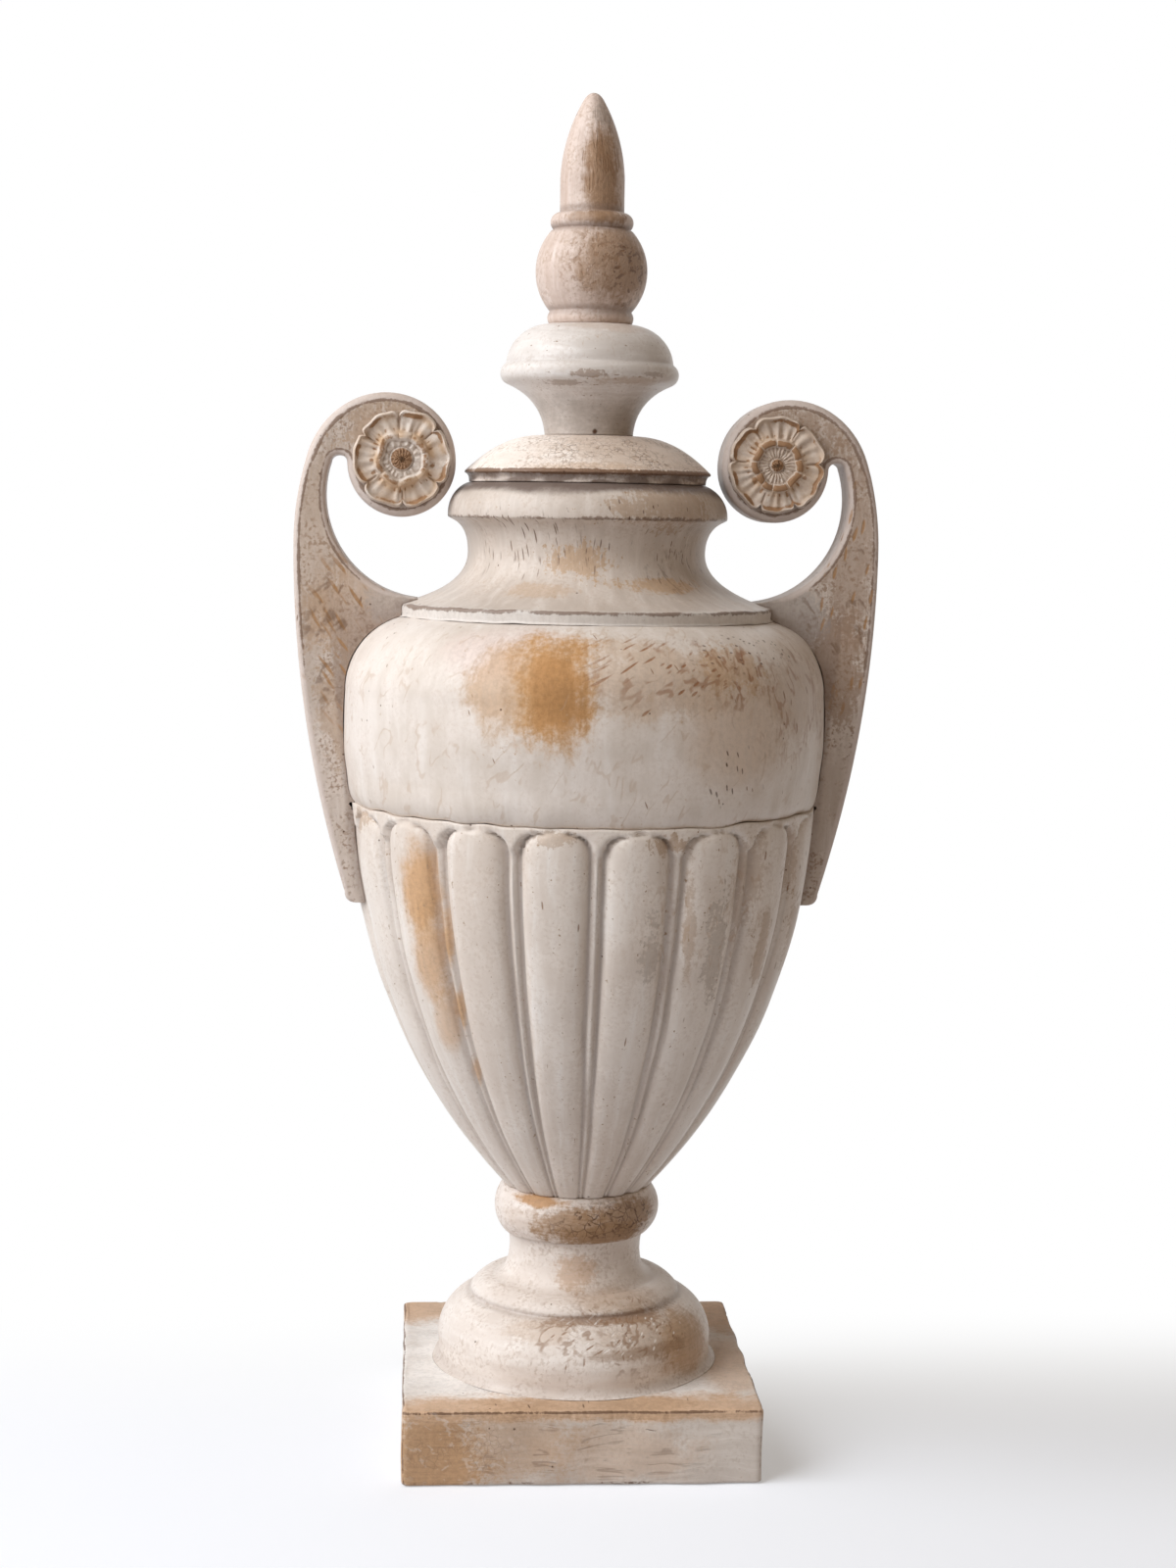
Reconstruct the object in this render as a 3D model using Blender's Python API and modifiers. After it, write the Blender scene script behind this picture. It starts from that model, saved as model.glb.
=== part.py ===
"""Lidded amphora urn: a turned and carved wooden vessel on a square plinth, with two scroll handles.

Metres, +Z up. The origin is the centre of the plinth's underside. The handles lie in the X-Z plane and the
front looks towards -Y. Every piece is glued to its neighbours except the lid, which lifts straight off.
"""
import math

import bmesh
import bpy
from mathutils import Matrix

MM = 0.001

# Fits
GLUE_LINE = 0.3 * MM          # gap between two glued faces
SLIP_FIT = 0.3 * MM           # radial gap round a tongue or a dowel
LID_PLAY = 0.6 * MM           # radial gap round the lid's plug
HOLE_SPARE = 0.6 * MM         # spare depth past the end of a dowel or a tongue

# Plinth
PLINTH_SIDE = 156.2 * MM
PLINTH_HEIGHT = 33 * MM
PLINTH_ARRIS = 1.4 * MM       # softened edge

# Foot
FOOT_RADIUS = 62.2 * MM       # widest, round the lower torus
FOOT_BAND_HEIGHT = 12 * MM    # upright band below the torus
FOOT_TORUS_HEIGHT = 18.5 * MM # band to quirk
FOOT_QUIRK_RADIUS = 47.4 * MM
FOOT_QUIRK_DEPTH = 1.6 * MM
FOOT_TORUS_ROUND = 3.6 * MM   # how far the torus bows out
FOOT_OGEE_ROUND = 1.7 * MM    # how far the ogee bows out
FOOT_OGEE_RADIUS = 36.5 * MM  # where the ogee turns into the cove
FOOT_OGEE_HEIGHT = 7 * MM
FOOT_WAIST_RADIUS = 29.8 * MM
FOOT_COVE_HEIGHT = 14 * MM    # ogee to waist
FOOT_COVE_PITCH = 1.7 * MM    # rise of the cove's tangent at the ogee
FOOT_NECK_HEIGHT = 8.5 * MM   # waist to collar
FOOT_TOP_RADIUS = 31.2 * MM

# Collar ring
COLLAR_RADIUS = 37.5 * MM
COLLAR_HEIGHT = 20.5 * MM
COLLAR_EDGE_RADIUS = 33.6 * MM

# Fluted bowl
BOWL_RADIUS = 104.8 * MM      # over the lobes, at the top
BOWL_BASE_RADIUS = 33.4 * MM
BOWL_HEIGHT = 173.6 * MM
BOWL_BELLY = 17 * MM          # how far the side bows out from a straight line
BOWL_WALL = 10 * MM           # behind the channels, at the top
BOWL_FLOOR = 12 * MM          # above the end of the centre dowel
BOWL_FLOOR_RADIUS = 36 * MM
CAVITY_BELLY = 11 * MM
LOBE_COUNT = 18
LOBE_DEPTH = 6.5 * MM         # at the top; it shrinks with the radius
LOBE_SHARE = 2 / 3            # share of the pitch that a lobe takes
LOBE_END = 15 * MM            # length of a lobe's round top end
LOBE_STOP = 2.5 * MM          # from a lobe's end to the top of the bowl
DART_SHARE = 0.55             # height of a dart beside the depth of a lobe

# Shoulder drum
DRUM_OVERHANG = 1.6 * MM      # where the shoulder begins, out from the crests of the lobes
DRUM_LIP_SET = 0.4 * MM       # lower edge, in from the crests of the lobes
DRUM_SWELL = 1.3 * MM         # how far the side bows out
DRUM_HEIGHT = 82.4 * MM
DRUM_WALL = 14 * MM
DRUM_LIP_ROUND = 3 * MM
SHOULDER_HEIGHT = 33 * MM
SHOULDER_ROUND = 7.2 * MM     # how far the shoulder bows out
DRUM_CEILING = 13 * MM        # thickness under the neck's flange
CEILING_BEND = 22 * MM
DRUM_TONGUE = 4.5 * MM        # thickness of the ring that locates in the bowl
DRUM_TONGUE_DEPTH = 8 * MM

# Neck and rim
FLANGE_RADIUS = 82.4 * MM
FLANGE_HEIGHT = 5 * MM
FLARE_HEIGHT = 23.5 * MM      # flange to waist
FLARE_PITCH = 8.8 * MM        # rise of the flare's tangent at the flange
NECK_WAIST_RADIUS = 52.8 * MM
THROAT_HEIGHT = 14 * MM       # waist to the rim's lower edge
THROAT_PITCH = 3.5 * MM       # drop of the throat's tangent at the rim
RIM_RADIUS = 62.2 * MM
RIM_HEIGHT = 16.3 * MM
RIM_ROUND = 3.6 * MM
RIM_EDGE = 1.2 * MM           # chamfer of the rim's lower edge
RIM_TOP_RADIUS = 53 * MM
MOUTH_RADIUS = 42 * MM
NECK_TONGUE = 8 * MM
NECK_TONGUE_DEPTH = 10 * MM

# Lid
LID_RADIUS = 54.7 * MM
LID_UNDERCUT_RADIUS = 52.6 * MM
LID_UNDERCUT_HEIGHT = 4 * MM
LID_EDGE_HEIGHT = 0.8 * MM
LID_DOME_HEIGHT = 16 * MM
LID_CROWN_RADIUS = 24 * MM    # flat crown that the knob stands on
PLUG_DEPTH = 8 * MM
PLUG_CHAMFER = 1.5 * MM

# Knob
STEM_RADIUS = 19.6 * MM
STEM_HEIGHT = 22.4 * MM
STEM_TAPER = 1 * MM           # how far the stem's side leans out
STEM_COVE = 6.7 * MM          # drop of the cove's tangent at the bead
KNOB_BEAD_RADIUS = 39.6 * MM
KNOB_BEAD_HEIGHT = 8.8 * MM
KNOB_BEAD_ROUND = 2.6 * MM
KNOB_CAP_HEIGHT = 17 * MM
KNOB_CAP_ROUND = 4.2 * MM
KNOB_TOP_RADIUS = 20.6 * MM

# Finial
FOOT_BEAD_RADIUS = 19 * MM
FOOT_BEAD_HEIGHT = 5.5 * MM
BALL_RADIUS = 25.2 * MM
BALL_HEIGHT = 35.4 * MM       # cut flat above and below
NECK_BEAD_RADIUS = 17 * MM
NECK_BEAD_HEIGHT = 7.4 * MM
NECK_BEAD_STEP = 1.2 * MM     # how far the ball's top edge stands out under the bead
SPIRE_RADIUS = 14.2 * MM
SPIRE_SHANK = 15 * MM         # straight part
SPIRE_POINT = 36.8 * MM       # pointed part
SPIRE_ROUND = 2.1 * MM        # how far the point bows out
SPIRE_TIP_RADIUS = 4.3 * MM   # where the rubbed, blunt tip ends
SPIRE_TIP_DROP = 3.2 * MM
SPIRE_TIP_CORNER = 2.4 * MM   # where the tip's two tangents meet

# Handles
HANDLE_THICKNESS = 24 * MM
HANDLE_CHAMFER = 2 * MM
HANDLE_STANDOFF = 23 * MM     # widest, beyond the drum
HANDLE_WIDEST_DROP = 36 * MM  # below the scroll's eye
HANDLE_SWEEP_RADIUS = 515 * MM
STRAP_WIDTH = 13.8 * MM       # beside the loop
LOOP_RADIUS = 45.5 * MM
HEEL_RISE = 2.2 * MM          # loop's lowest point above the neck's flange
HEEL_OVERLAP = 2.5 * MM       # how far the heel reaches in over the flange
TAIL_DROP = 45 * MM           # tail's end below the drum
TAIL_ROUND = 5 * MM
SCROLL_EYE_RADIUS = 23.7 * MM
SCROLL_RISE = 7.7 * MM        # eye above the rim
SCROLL_GAP = 2.2 * MM         # between the scroll and the lid or the rim
SCROLL_INSET = 5 * MM         # scroll's outer side, in from the widest reach
SCROLL_CURL = 1.6             # how late the scroll opens out
CROTCH_RISE = 3 * MM

# Rosettes
ROSETTE_MARGIN = 2.2 * MM     # bare edge of the scroll round the rosette
ROSETTE_RISE = 1.5 * MM       # rosette's middle above the scroll's eye
ROSETTE_RELIEF = 5 * MM
PETAL_COUNT = 6
PETAL_NOTCH = 2.4 * MM
ROSETTE_TURN = math.radians(33)  # the left pair's turn against the right pair

# Dowels
CENTRE_DOWEL_RADIUS = 10 * MM
CENTRE_DOWEL_IN_PLINTH = 20 * MM
CENTRE_DOWEL_IN_BOWL = 20 * MM
SIDE_DOWEL_RADIUS = 4 * MM
SIDE_DOWEL_COVER = 5 * MM     # wood left beyond each end
SIDE_DOWEL_SPACING = 34 * MM
SIDE_DOWEL_DROP = 34 * MM     # upper dowel below the drum's top
TOP_DOWEL_RADIUS = 5 * MM
TOP_DOWEL_REACH = 12 * MM     # into each of the two pieces that it joins
DOWEL_CHAMFER = 1 * MM

# How finely round shapes are cut into flats
LARGE_STEPS = 28
SMALL_STEPS = 24
DOWEL_STEPS = 12
LOBE_STEPS = 6
PETAL_STEPS = 4
CUTTER_STEPS = 96

# The drum goes with the bowl that it stands on
DRUM_RADIUS = BOWL_RADIUS + DRUM_OVERHANG

# Levels, stacked from the plinth up
FOOT_Z = PLINTH_HEIGHT + GLUE_LINE
QUIRK_Z = FOOT_Z + FOOT_BAND_HEIGHT + FOOT_TORUS_HEIGHT
OGEE_Z = QUIRK_Z + FOOT_OGEE_HEIGHT
FOOT_WAIST_Z = OGEE_Z + FOOT_COVE_HEIGHT
FOOT_TOP_Z = FOOT_WAIST_Z + FOOT_NECK_HEIGHT
COLLAR_Z = FOOT_TOP_Z + GLUE_LINE
COLLAR_TOP_Z = COLLAR_Z + COLLAR_HEIGHT
BOWL_Z = COLLAR_TOP_Z + GLUE_LINE
BOWL_TOP_Z = BOWL_Z + BOWL_HEIGHT
DRUM_Z = BOWL_TOP_Z + GLUE_LINE
DRUM_TOP_Z = DRUM_Z + DRUM_HEIGHT
NECK_Z = DRUM_TOP_Z + GLUE_LINE
FLANGE_Z = NECK_Z + FLANGE_HEIGHT
NECK_WAIST_Z = FLANGE_Z + FLARE_HEIGHT
RIM_Z = NECK_WAIST_Z + THROAT_HEIGHT
RIM_TOP_Z = RIM_Z + RIM_HEIGHT
LID_Z = RIM_TOP_Z + GLUE_LINE
LID_EDGE_Z = LID_Z + LID_UNDERCUT_HEIGHT
LID_TOP_Z = LID_EDGE_Z + LID_EDGE_HEIGHT + LID_DOME_HEIGHT
KNOB_Z = LID_TOP_Z + GLUE_LINE
KNOB_BEAD_Z = KNOB_Z + STEM_HEIGHT
KNOB_CAP_Z = KNOB_BEAD_Z + KNOB_BEAD_HEIGHT
KNOB_TOP_Z = KNOB_CAP_Z + KNOB_CAP_HEIGHT
FINIAL_Z = KNOB_TOP_Z + GLUE_LINE


def arc(start, end, rise, count):
    """Points after start on a circular arc to end; it bows out by rise where the outline runs downwards."""
    along = (end[0] - start[0], end[1] - start[1])
    chord = math.hypot(*along)
    out = (-along[1] / chord, along[0] / chord)
    radius = chord * chord / (8 * rise) + rise / 2
    half = math.asin(max(-1, min(1, chord / (2 * radius))))
    points = []
    for step in range(1, count + 1):
        angle = half * (2 * step / count - 1)
        forward = 0.5 + radius * math.sin(angle) / chord
        outward = radius * (math.cos(angle) - math.cos(half))
        points.append((start[0] + along[0] * forward + out[0] * outward,
                       start[1] + along[1] * forward + out[1] * outward))
    return points


def bend(start, corner, end, count):
    """Points after start on a parabola to end that leaves and arrives in line with the corner."""
    points = []
    for step in range(1, count + 1):
        t = step / count
        points.append(tuple((1 - t) ** 2 * a + 2 * t * (1 - t) * b + t * t * c
                            for a, b, c in zip(start, corner, end)))
    return points


def grown(outline, distance):
    """The outline, moved outwards by distance; an outline that runs downwards grows in radius."""
    result = []
    for index, point in enumerate(outline):
        before = outline[max(index - 1, 0)]
        after = outline[min(index + 1, len(outline) - 1)]
        along = (after[0] - before[0], after[1] - before[1])
        length = math.hypot(*along)
        result.append((point[0] - along[1] / length * distance, point[1] + along[0] / length * distance))
    return result


def paint(name, colour, roughness):
    material = bpy.data.materials.new(name)
    material.use_nodes = True
    shader = material.node_tree.nodes["Principled BSDF"]
    shader.inputs["Base Color"].default_value = (*colour, 1)
    shader.inputs["Roughness"].default_value = roughness
    material.diffuse_color = (*colour, 1)
    return material


def placed(name, mesh, collection, material=None, base=0.0):
    """An object for a mesh in world coordinates, with its own origin on the axis at the base level."""
    mesh.transform(Matrix.Translation((0, 0, -base)))
    piece = bpy.data.objects.new(name, mesh)
    piece.location.z = base
    collection.objects.link(piece)
    if material:
        mesh.materials.clear()
        mesh.materials.append(material)
    return piece


def realised(source, turn=None):
    """The evaluated mesh of an object, welded, with the source removed."""
    bpy.context.view_layer.update()
    graph = bpy.context.evaluated_depsgraph_get()
    mesh = bpy.data.meshes.new_from_object(source.evaluated_get(graph))
    mesh.transform(source.matrix_world)
    if turn:
        mesh.transform(turn)
    bpy.data.objects.remove(source)
    soup = bmesh.new()
    soup.from_mesh(mesh)
    bmesh.ops.remove_doubles(soup, verts=soup.verts, dist=0.01 * MM)
    bmesh.ops.recalc_face_normals(soup, faces=soup.faces)
    soup.to_mesh(mesh)
    soup.free()
    mesh.shade_smooth()
    mesh.set_sharp_from_angle(angle=math.radians(35))
    return mesh


def turned_mesh(name, outline, steps):
    """An outline of (radius, height) points turned about the Z axis; one clear of the axis is closed."""
    count = len(outline)
    edges = [(index, index + 1) for index in range(count - 1)]
    if outline[0][0] > 0:
        edges.append((count - 1, 0))
    profile = bpy.data.meshes.new(name)
    profile.from_pydata([(radius, 0, height) for radius, height in outline], edges, [])
    source = bpy.data.objects.new(name + "_profile", profile)
    bpy.context.scene.collection.objects.link(source)
    screw = source.modifiers.new("turning", "SCREW")
    screw.steps = steps
    screw.render_steps = steps
    screw.use_merge_vertices = True
    screw.merge_threshold = 0.05 * MM
    screw.use_normal_calculate = True
    mesh = realised(source)
    mesh.name = name
    return mesh


def dowel_mesh(name, radius, length, chamfer, steps):
    """A chamfered round bar along Z, centred on the origin."""
    low = -length / 2
    outline = [(0, -low), (radius - chamfer, -low), (radius, -low - chamfer),
               (radius, low + chamfer), (radius - chamfer, low), (0, low)]
    return turned_mesh(name, outline, steps)


def cut(piece, cutter, name):
    knife = piece.modifiers.new(name, "BOOLEAN")
    knife.operation = "DIFFERENCE"
    knife.solver = "EXACT"
    knife.object = cutter


def as_cutter(name, mesh):
    piece = placed(name, mesh, cutters)
    piece.hide_render = True
    piece.display_type = "WIRE"
    return piece


def neck_outside():
    """The neck from the top of its rim down to the bottom of its flange."""
    outline = [(RIM_TOP_RADIUS, RIM_TOP_Z)]
    outline += arc(outline[-1], (RIM_RADIUS, RIM_Z + RIM_EDGE), RIM_ROUND, 5)
    outline += [(RIM_RADIUS - RIM_EDGE, RIM_Z)]
    waist = (NECK_WAIST_RADIUS, NECK_WAIST_Z)
    outline += bend(outline[-1], (NECK_WAIST_RADIUS, RIM_Z - THROAT_PITCH), waist, 4)
    outline += bend(waist, (NECK_WAIST_RADIUS, FLANGE_Z + FLARE_PITCH), (FLANGE_RADIUS, FLANGE_Z), 6)
    outline += [(FLANGE_RADIUS, NECK_Z)]
    return outline


def drum_lip_radius():
    return BOWL_RADIUS - DRUM_LIP_SET


def drum_outside():
    """The drum from the flange, over the shoulder, down to the lower lip."""
    outline = [(FLANGE_RADIUS, DRUM_TOP_Z)]
    outline += arc(outline[-1], (DRUM_RADIUS, DRUM_TOP_Z - SHOULDER_HEIGHT), SHOULDER_ROUND, 6)
    outline += arc(outline[-1], (drum_lip_radius(), DRUM_Z + DRUM_LIP_ROUND), DRUM_SWELL, 3)
    return outline


def bowl_outside(count):
    """The bowl over the crests of its lobes, from the top down to the collar."""
    top = (BOWL_RADIUS, BOWL_TOP_Z)
    return [top] + arc(top, (BOWL_BASE_RADIUS, BOWL_Z), BOWL_BELLY, count)


def scroll_eye():
    """The centre of a scroll, clear of the rim and of the lid on its way up."""
    height = LID_Z + SCROLL_RISE
    clear = SCROLL_EYE_RADIUS + SCROLL_GAP
    reach = LID_RADIUS + clear
    for radius, level in neck_outside():
        away = abs(height - level)
        if away < clear:
            reach = max(reach, radius + math.sqrt(clear ** 2 - away ** 2))
    return reach, height


def handle_reach():
    return DRUM_RADIUS + HANDLE_STANDOFF


def handle_outer(height):
    """The handle's outer edge below its widest level."""
    fall = scroll_eye()[1] - HANDLE_WIDEST_DROP - height
    return handle_reach() - HANDLE_SWEEP_RADIUS + math.sqrt(HANDLE_SWEEP_RADIUS ** 2 - fall ** 2)


def handle_outline():
    """The board's outline: from the scroll's inner side over the top, down to the tail and up the loop."""
    reach = handle_reach()
    eye_x, eye_z = scroll_eye()
    growth = reach - SCROLL_INSET - eye_x - SCROLL_EYE_RADIUS
    outline = []
    for step in range(13):
        share = step / 12
        radius = SCROLL_EYE_RADIUS + growth * share ** SCROLL_CURL
        angle = math.pi * share
        outline.append((eye_x - radius * math.cos(angle), eye_z + radius * math.sin(angle)))
    widest_z = eye_z - HANDLE_WIDEST_DROP
    outline += bend(outline[-1], (reach, eye_z - HANDLE_WIDEST_DROP / 2), (reach, widest_z), 3)

    tail_z = DRUM_Z - TAIL_DROP
    for step in range(1, 8):
        level = widest_z + (tail_z + TAIL_ROUND - widest_z) * step / 7
        outline.append((handle_outer(level), level))
    edge = outline[-1][0]
    outline += bend(outline[-1], (edge, tail_z), (edge - TAIL_ROUND, tail_z), 3)

    # inside the body, where the scribing cut takes the board away
    heel = FLANGE_RADIUS - HEEL_OVERLAP
    outline.append((heel - 2 * TAIL_ROUND, tail_z))
    outline.append((heel, NECK_Z))

    loop_x = reach - STRAP_WIDTH - LOOP_RADIUS
    loop_z = FLANGE_Z + HEEL_RISE + LOOP_RADIUS
    fork_z = eye_z
    first = -math.acos((heel - loop_x) / LOOP_RADIUS)
    last = math.asin((fork_z - loop_z) / LOOP_RADIUS)
    for step in range(12):
        angle = first + (last - first) * step / 11
        outline.append((loop_x + LOOP_RADIUS * math.cos(angle), loop_z + LOOP_RADIUS * math.sin(angle)))

    outer = outline[-1][0]
    inner = eye_x + SCROLL_EYE_RADIUS
    for step in range(1, 5):
        angle = math.pi * step / 5
        outline.append(((outer + inner) / 2 + (outer - inner) / 2 * math.cos(angle),
                        fork_z + CROTCH_RISE * math.sin(angle)))
    for step in range(12):
        angle = -math.pi * step / 12
        outline.append((eye_x + SCROLL_EYE_RADIUS * math.cos(angle),
                        eye_z + SCROLL_EYE_RADIUS * math.sin(angle)))
    return outline


def board_mesh(name, outline, turn):
    """A chamfered board with its outline in the X-Z plane, centred on that plane and turned about Z."""
    shape = bpy.data.curves.new(name, "CURVE")
    shape.dimensions = "2D"
    shape.fill_mode = "BOTH"
    shape.extrude = HANDLE_THICKNESS / 2 - HANDLE_CHAMFER
    shape.bevel_depth = HANDLE_CHAMFER
    shape.bevel_resolution = 0
    shape.offset = -HANDLE_CHAMFER
    spline = shape.splines.new("POLY")
    spline.points.add(len(outline) - 1)
    for point, (across, up) in zip(spline.points, outline):
        point.co = (across, up, 0, 1)
    spline.use_cyclic_u = True
    source = bpy.data.objects.new(name + "_outline", shape)
    bpy.context.scene.collection.objects.link(source)
    mesh = realised(source, Matrix.Rotation(turn, 4, "Z") @ Matrix.Rotation(math.pi / 2, 4, "X"))
    mesh.name = name
    return mesh


def lobe_relief(offset, share):
    """Height of the carving: 1 on a lobe's crest, 0 in a channel, DART_SHARE on a dart.

    The offset is 0 on the crest and 1 on the dart's centre line; share is the lobe's half width there.
    """
    lobe = math.sqrt(max(0.0, 1 - (offset / share) ** 2)) if share > 0 else 0.0
    dart = DART_SHARE * max(0.0, (offset - LOBE_SHARE) / (1 - LOBE_SHARE))
    return max(lobe, dart)


def carve_lobes(mesh):
    """Sinks the channels of a turned bowl between its lobes and rounds off the lobes' top ends."""
    end_z = BOWL_TOP_Z - LOBE_STOP
    for vertex in mesh.vertices:
        across, deep, level = vertex.co
        radius = math.hypot(across, deep)
        if radius < BOWL_BASE_RADIUS - 0.1 * MM:
            continue
        turn = math.atan2(across, -deep) / (2 * math.pi)
        offset = abs((turn * LOBE_COUNT) % 1 - 0.5) * 2
        past = max(0.0, (level - end_z + LOBE_END) / LOBE_END)
        share = LOBE_SHARE * math.sqrt(max(0.0, 1 - past ** 2))
        depth = LOBE_DEPTH * radius / BOWL_RADIUS
        sunk = radius - depth * (1 - lobe_relief(offset, share))
        vertex.co = (across * sunk / radius, deep * sunk / radius, level)


def carve_petals(mesh, edge):
    """Notches the rim of a turned rosette into petals and lets each petal sag at its notches."""
    for vertex in mesh.vertices:
        radius = math.hypot(vertex.co.x, vertex.co.y)
        share = max(0.0, (radius / edge - 0.55) / 0.45)
        if vertex.co.z < 0.1 * MM or share == 0:
            continue
        turn = math.atan2(vertex.co.y, vertex.co.x) / (2 * math.pi)
        near = abs(math.cos(math.pi * PETAL_COUNT * turn)) ** 4
        drawn = 1 - PETAL_NOTCH * near * share / radius
        vertex.co.x *= drawn
        vertex.co.y *= drawn
        vertex.co.z *= 1 - 0.45 * near * share


for leftover in list(bpy.data.objects):
    bpy.data.objects.remove(leftover)
parts = bpy.data.collections.new("amphora_vase")
cutters = bpy.data.collections.new("cutters")
bpy.context.scene.collection.children.link(parts)
bpy.context.scene.collection.children.link(cutters)

plinth_paint = paint("plinth_paint", (0.66, 0.55, 0.45), 0.7)
foot_paint = paint("foot_paint", (0.71, 0.62, 0.54), 0.6)
collar_paint = paint("collar_paint", (0.65, 0.51, 0.39), 0.65)
bowl_paint = paint("bowl_paint", (0.72, 0.65, 0.58), 0.6)
drum_paint = paint("drum_paint", (0.73, 0.64, 0.55), 0.6)
neck_paint = paint("neck_paint", (0.71, 0.63, 0.56), 0.6)
handle_paint = paint("handle_paint", (0.58, 0.46, 0.37), 0.65)
rosette_paint = paint("rosette_paint", (0.55, 0.42, 0.32), 0.65)
lid_paint = paint("lid_paint", (0.68, 0.58, 0.49), 0.6)
knob_paint = paint("knob_paint", (0.73, 0.67, 0.61), 0.55)
finial_paint = paint("finial_paint", (0.62, 0.46, 0.36), 0.6)
dowel_wood = paint("dowel_wood", (0.62, 0.45, 0.28), 0.7)

# Plinth: a block with softened edges and a blind socket for the centre dowel
bpy.ops.mesh.primitive_cube_add(size=1, location=(0, 0, PLINTH_HEIGHT / 2))
plinth = bpy.context.object
plinth.name = "plinth"
plinth.scale = (PLINTH_SIDE, PLINTH_SIDE, PLINTH_HEIGHT)
bpy.ops.object.transform_apply(location=True, rotation=True, scale=True)
for home in list(plinth.users_collection):
    home.objects.unlink(plinth)
parts.objects.link(plinth)
plinth.data.materials.append(plinth_paint)
softened = plinth.modifiers.new("softened_edges", "BEVEL")
softened.width = PLINTH_ARRIS
softened.segments = 2
socket_bottom = PLINTH_HEIGHT - CENTRE_DOWEL_IN_PLINTH - HOLE_SPARE
socket = [(0, PLINTH_HEIGHT + 5 * MM), (CENTRE_DOWEL_RADIUS + SLIP_FIT, PLINTH_HEIGHT + 5 * MM),
          (CENTRE_DOWEL_RADIUS + SLIP_FIT, socket_bottom), (0, socket_bottom)]
cut(plinth, as_cutter("plinth_socket", turned_mesh("plinth_socket", socket, LARGE_STEPS)), "dowel_socket")

# Foot: band, torus, quirk, ogee and cove, bored for the dowel
bore = CENTRE_DOWEL_RADIUS + SLIP_FIT
outline = [(bore, FOOT_TOP_Z), (FOOT_TOP_RADIUS, FOOT_TOP_Z)]
outline += bend(outline[-1], (FOOT_WAIST_RADIUS, FOOT_TOP_Z - FOOT_NECK_HEIGHT / 2),
                (FOOT_WAIST_RADIUS, FOOT_WAIST_Z), 3)
outline += bend(outline[-1], (FOOT_WAIST_RADIUS, OGEE_Z + FOOT_COVE_PITCH), (FOOT_OGEE_RADIUS, OGEE_Z), 4)
outline += arc(outline[-1], (FOOT_QUIRK_RADIUS, QUIRK_Z + FOOT_QUIRK_DEPTH), FOOT_OGEE_ROUND, 4)
outline += [(FOOT_QUIRK_RADIUS, QUIRK_Z)]
outline += arc(outline[-1], (FOOT_RADIUS, FOOT_Z + FOOT_BAND_HEIGHT), FOOT_TORUS_ROUND, 5)
outline += [(FOOT_RADIUS, FOOT_Z), (bore, FOOT_Z)]
placed("foot", turned_mesh("foot", outline, LARGE_STEPS), parts, foot_paint, FOOT_Z)

# Collar: one bead between two narrow edges
outline = [(bore, COLLAR_TOP_Z), (COLLAR_EDGE_RADIUS, COLLAR_TOP_Z)]
outline += arc(outline[-1], (COLLAR_EDGE_RADIUS, COLLAR_Z), COLLAR_RADIUS - COLLAR_EDGE_RADIUS, 8)
outline += [(bore, COLLAR_Z)]
placed("foot_collar", turned_mesh("foot_collar", outline, LARGE_STEPS), parts, collar_paint, COLLAR_Z)

# Centre dowel, from the plinth's socket up into the bowl
low = PLINTH_HEIGHT - CENTRE_DOWEL_IN_PLINTH
high = BOWL_Z + CENTRE_DOWEL_IN_BOWL
mesh = dowel_mesh("centre_dowel", CENTRE_DOWEL_RADIUS, high - low, DOWEL_CHAMFER, DOWEL_STEPS)
placed("centre_dowel", mesh, parts, dowel_wood).location.z = (low + high) / 2

# Fluted bowl: turned solid, carved outside, then hollowed
end_z = BOWL_TOP_Z - LOBE_STOP
belly = bowl_outside(40)
rings = [end_z, end_z - 0.12 * LOBE_END, end_z - 0.45 * LOBE_END, end_z - LOBE_END]
body_rings = 5
for step in range(1, body_rings + 1):
    rings.append(rings[3] + (BOWL_Z - rings[3]) * step / body_rings)
outline = [(0, BOWL_TOP_Z), belly[0]]
for level in rings:
    lower = next(index for index, point in enumerate(belly) if point[1] <= level + 1e-9)
    above, below = belly[lower - 1], belly[lower]
    share = (above[1] - level) / (above[1] - below[1])
    outline.append((above[0] + (below[0] - above[0]) * share, level))
socket_top = BOWL_Z + CENTRE_DOWEL_IN_BOWL + HOLE_SPARE
outline += [(bore, BOWL_Z), (bore, socket_top), (0, socket_top)]
bowl_mesh = turned_mesh("fluted_bowl", outline, LOBE_COUNT * LOBE_STEPS)
carve_lobes(bowl_mesh)
bowl = placed("fluted_bowl", bowl_mesh, parts, bowl_paint, BOWL_Z)
inner_radius = BOWL_RADIUS - LOBE_DEPTH - BOWL_WALL
floor_z = socket_top + BOWL_FLOOR
rebate_radius = inner_radius + DRUM_TONGUE + SLIP_FIT
rebate_z = BOWL_TOP_Z - DRUM_TONGUE_DEPTH - HOLE_SPARE
hollow = [(0, BOWL_TOP_Z + 5 * MM), (rebate_radius, BOWL_TOP_Z + 5 * MM), (rebate_radius, rebate_z),
          (inner_radius, rebate_z)]
hollow += arc(hollow[-1], (BOWL_FLOOR_RADIUS, floor_z), CAVITY_BELLY, 6)
hollow += [(0, floor_z)]
cut(bowl, as_cutter("bowl_hollow", turned_mesh("bowl_hollow", hollow, LARGE_STEPS)), "hollow")

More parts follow.
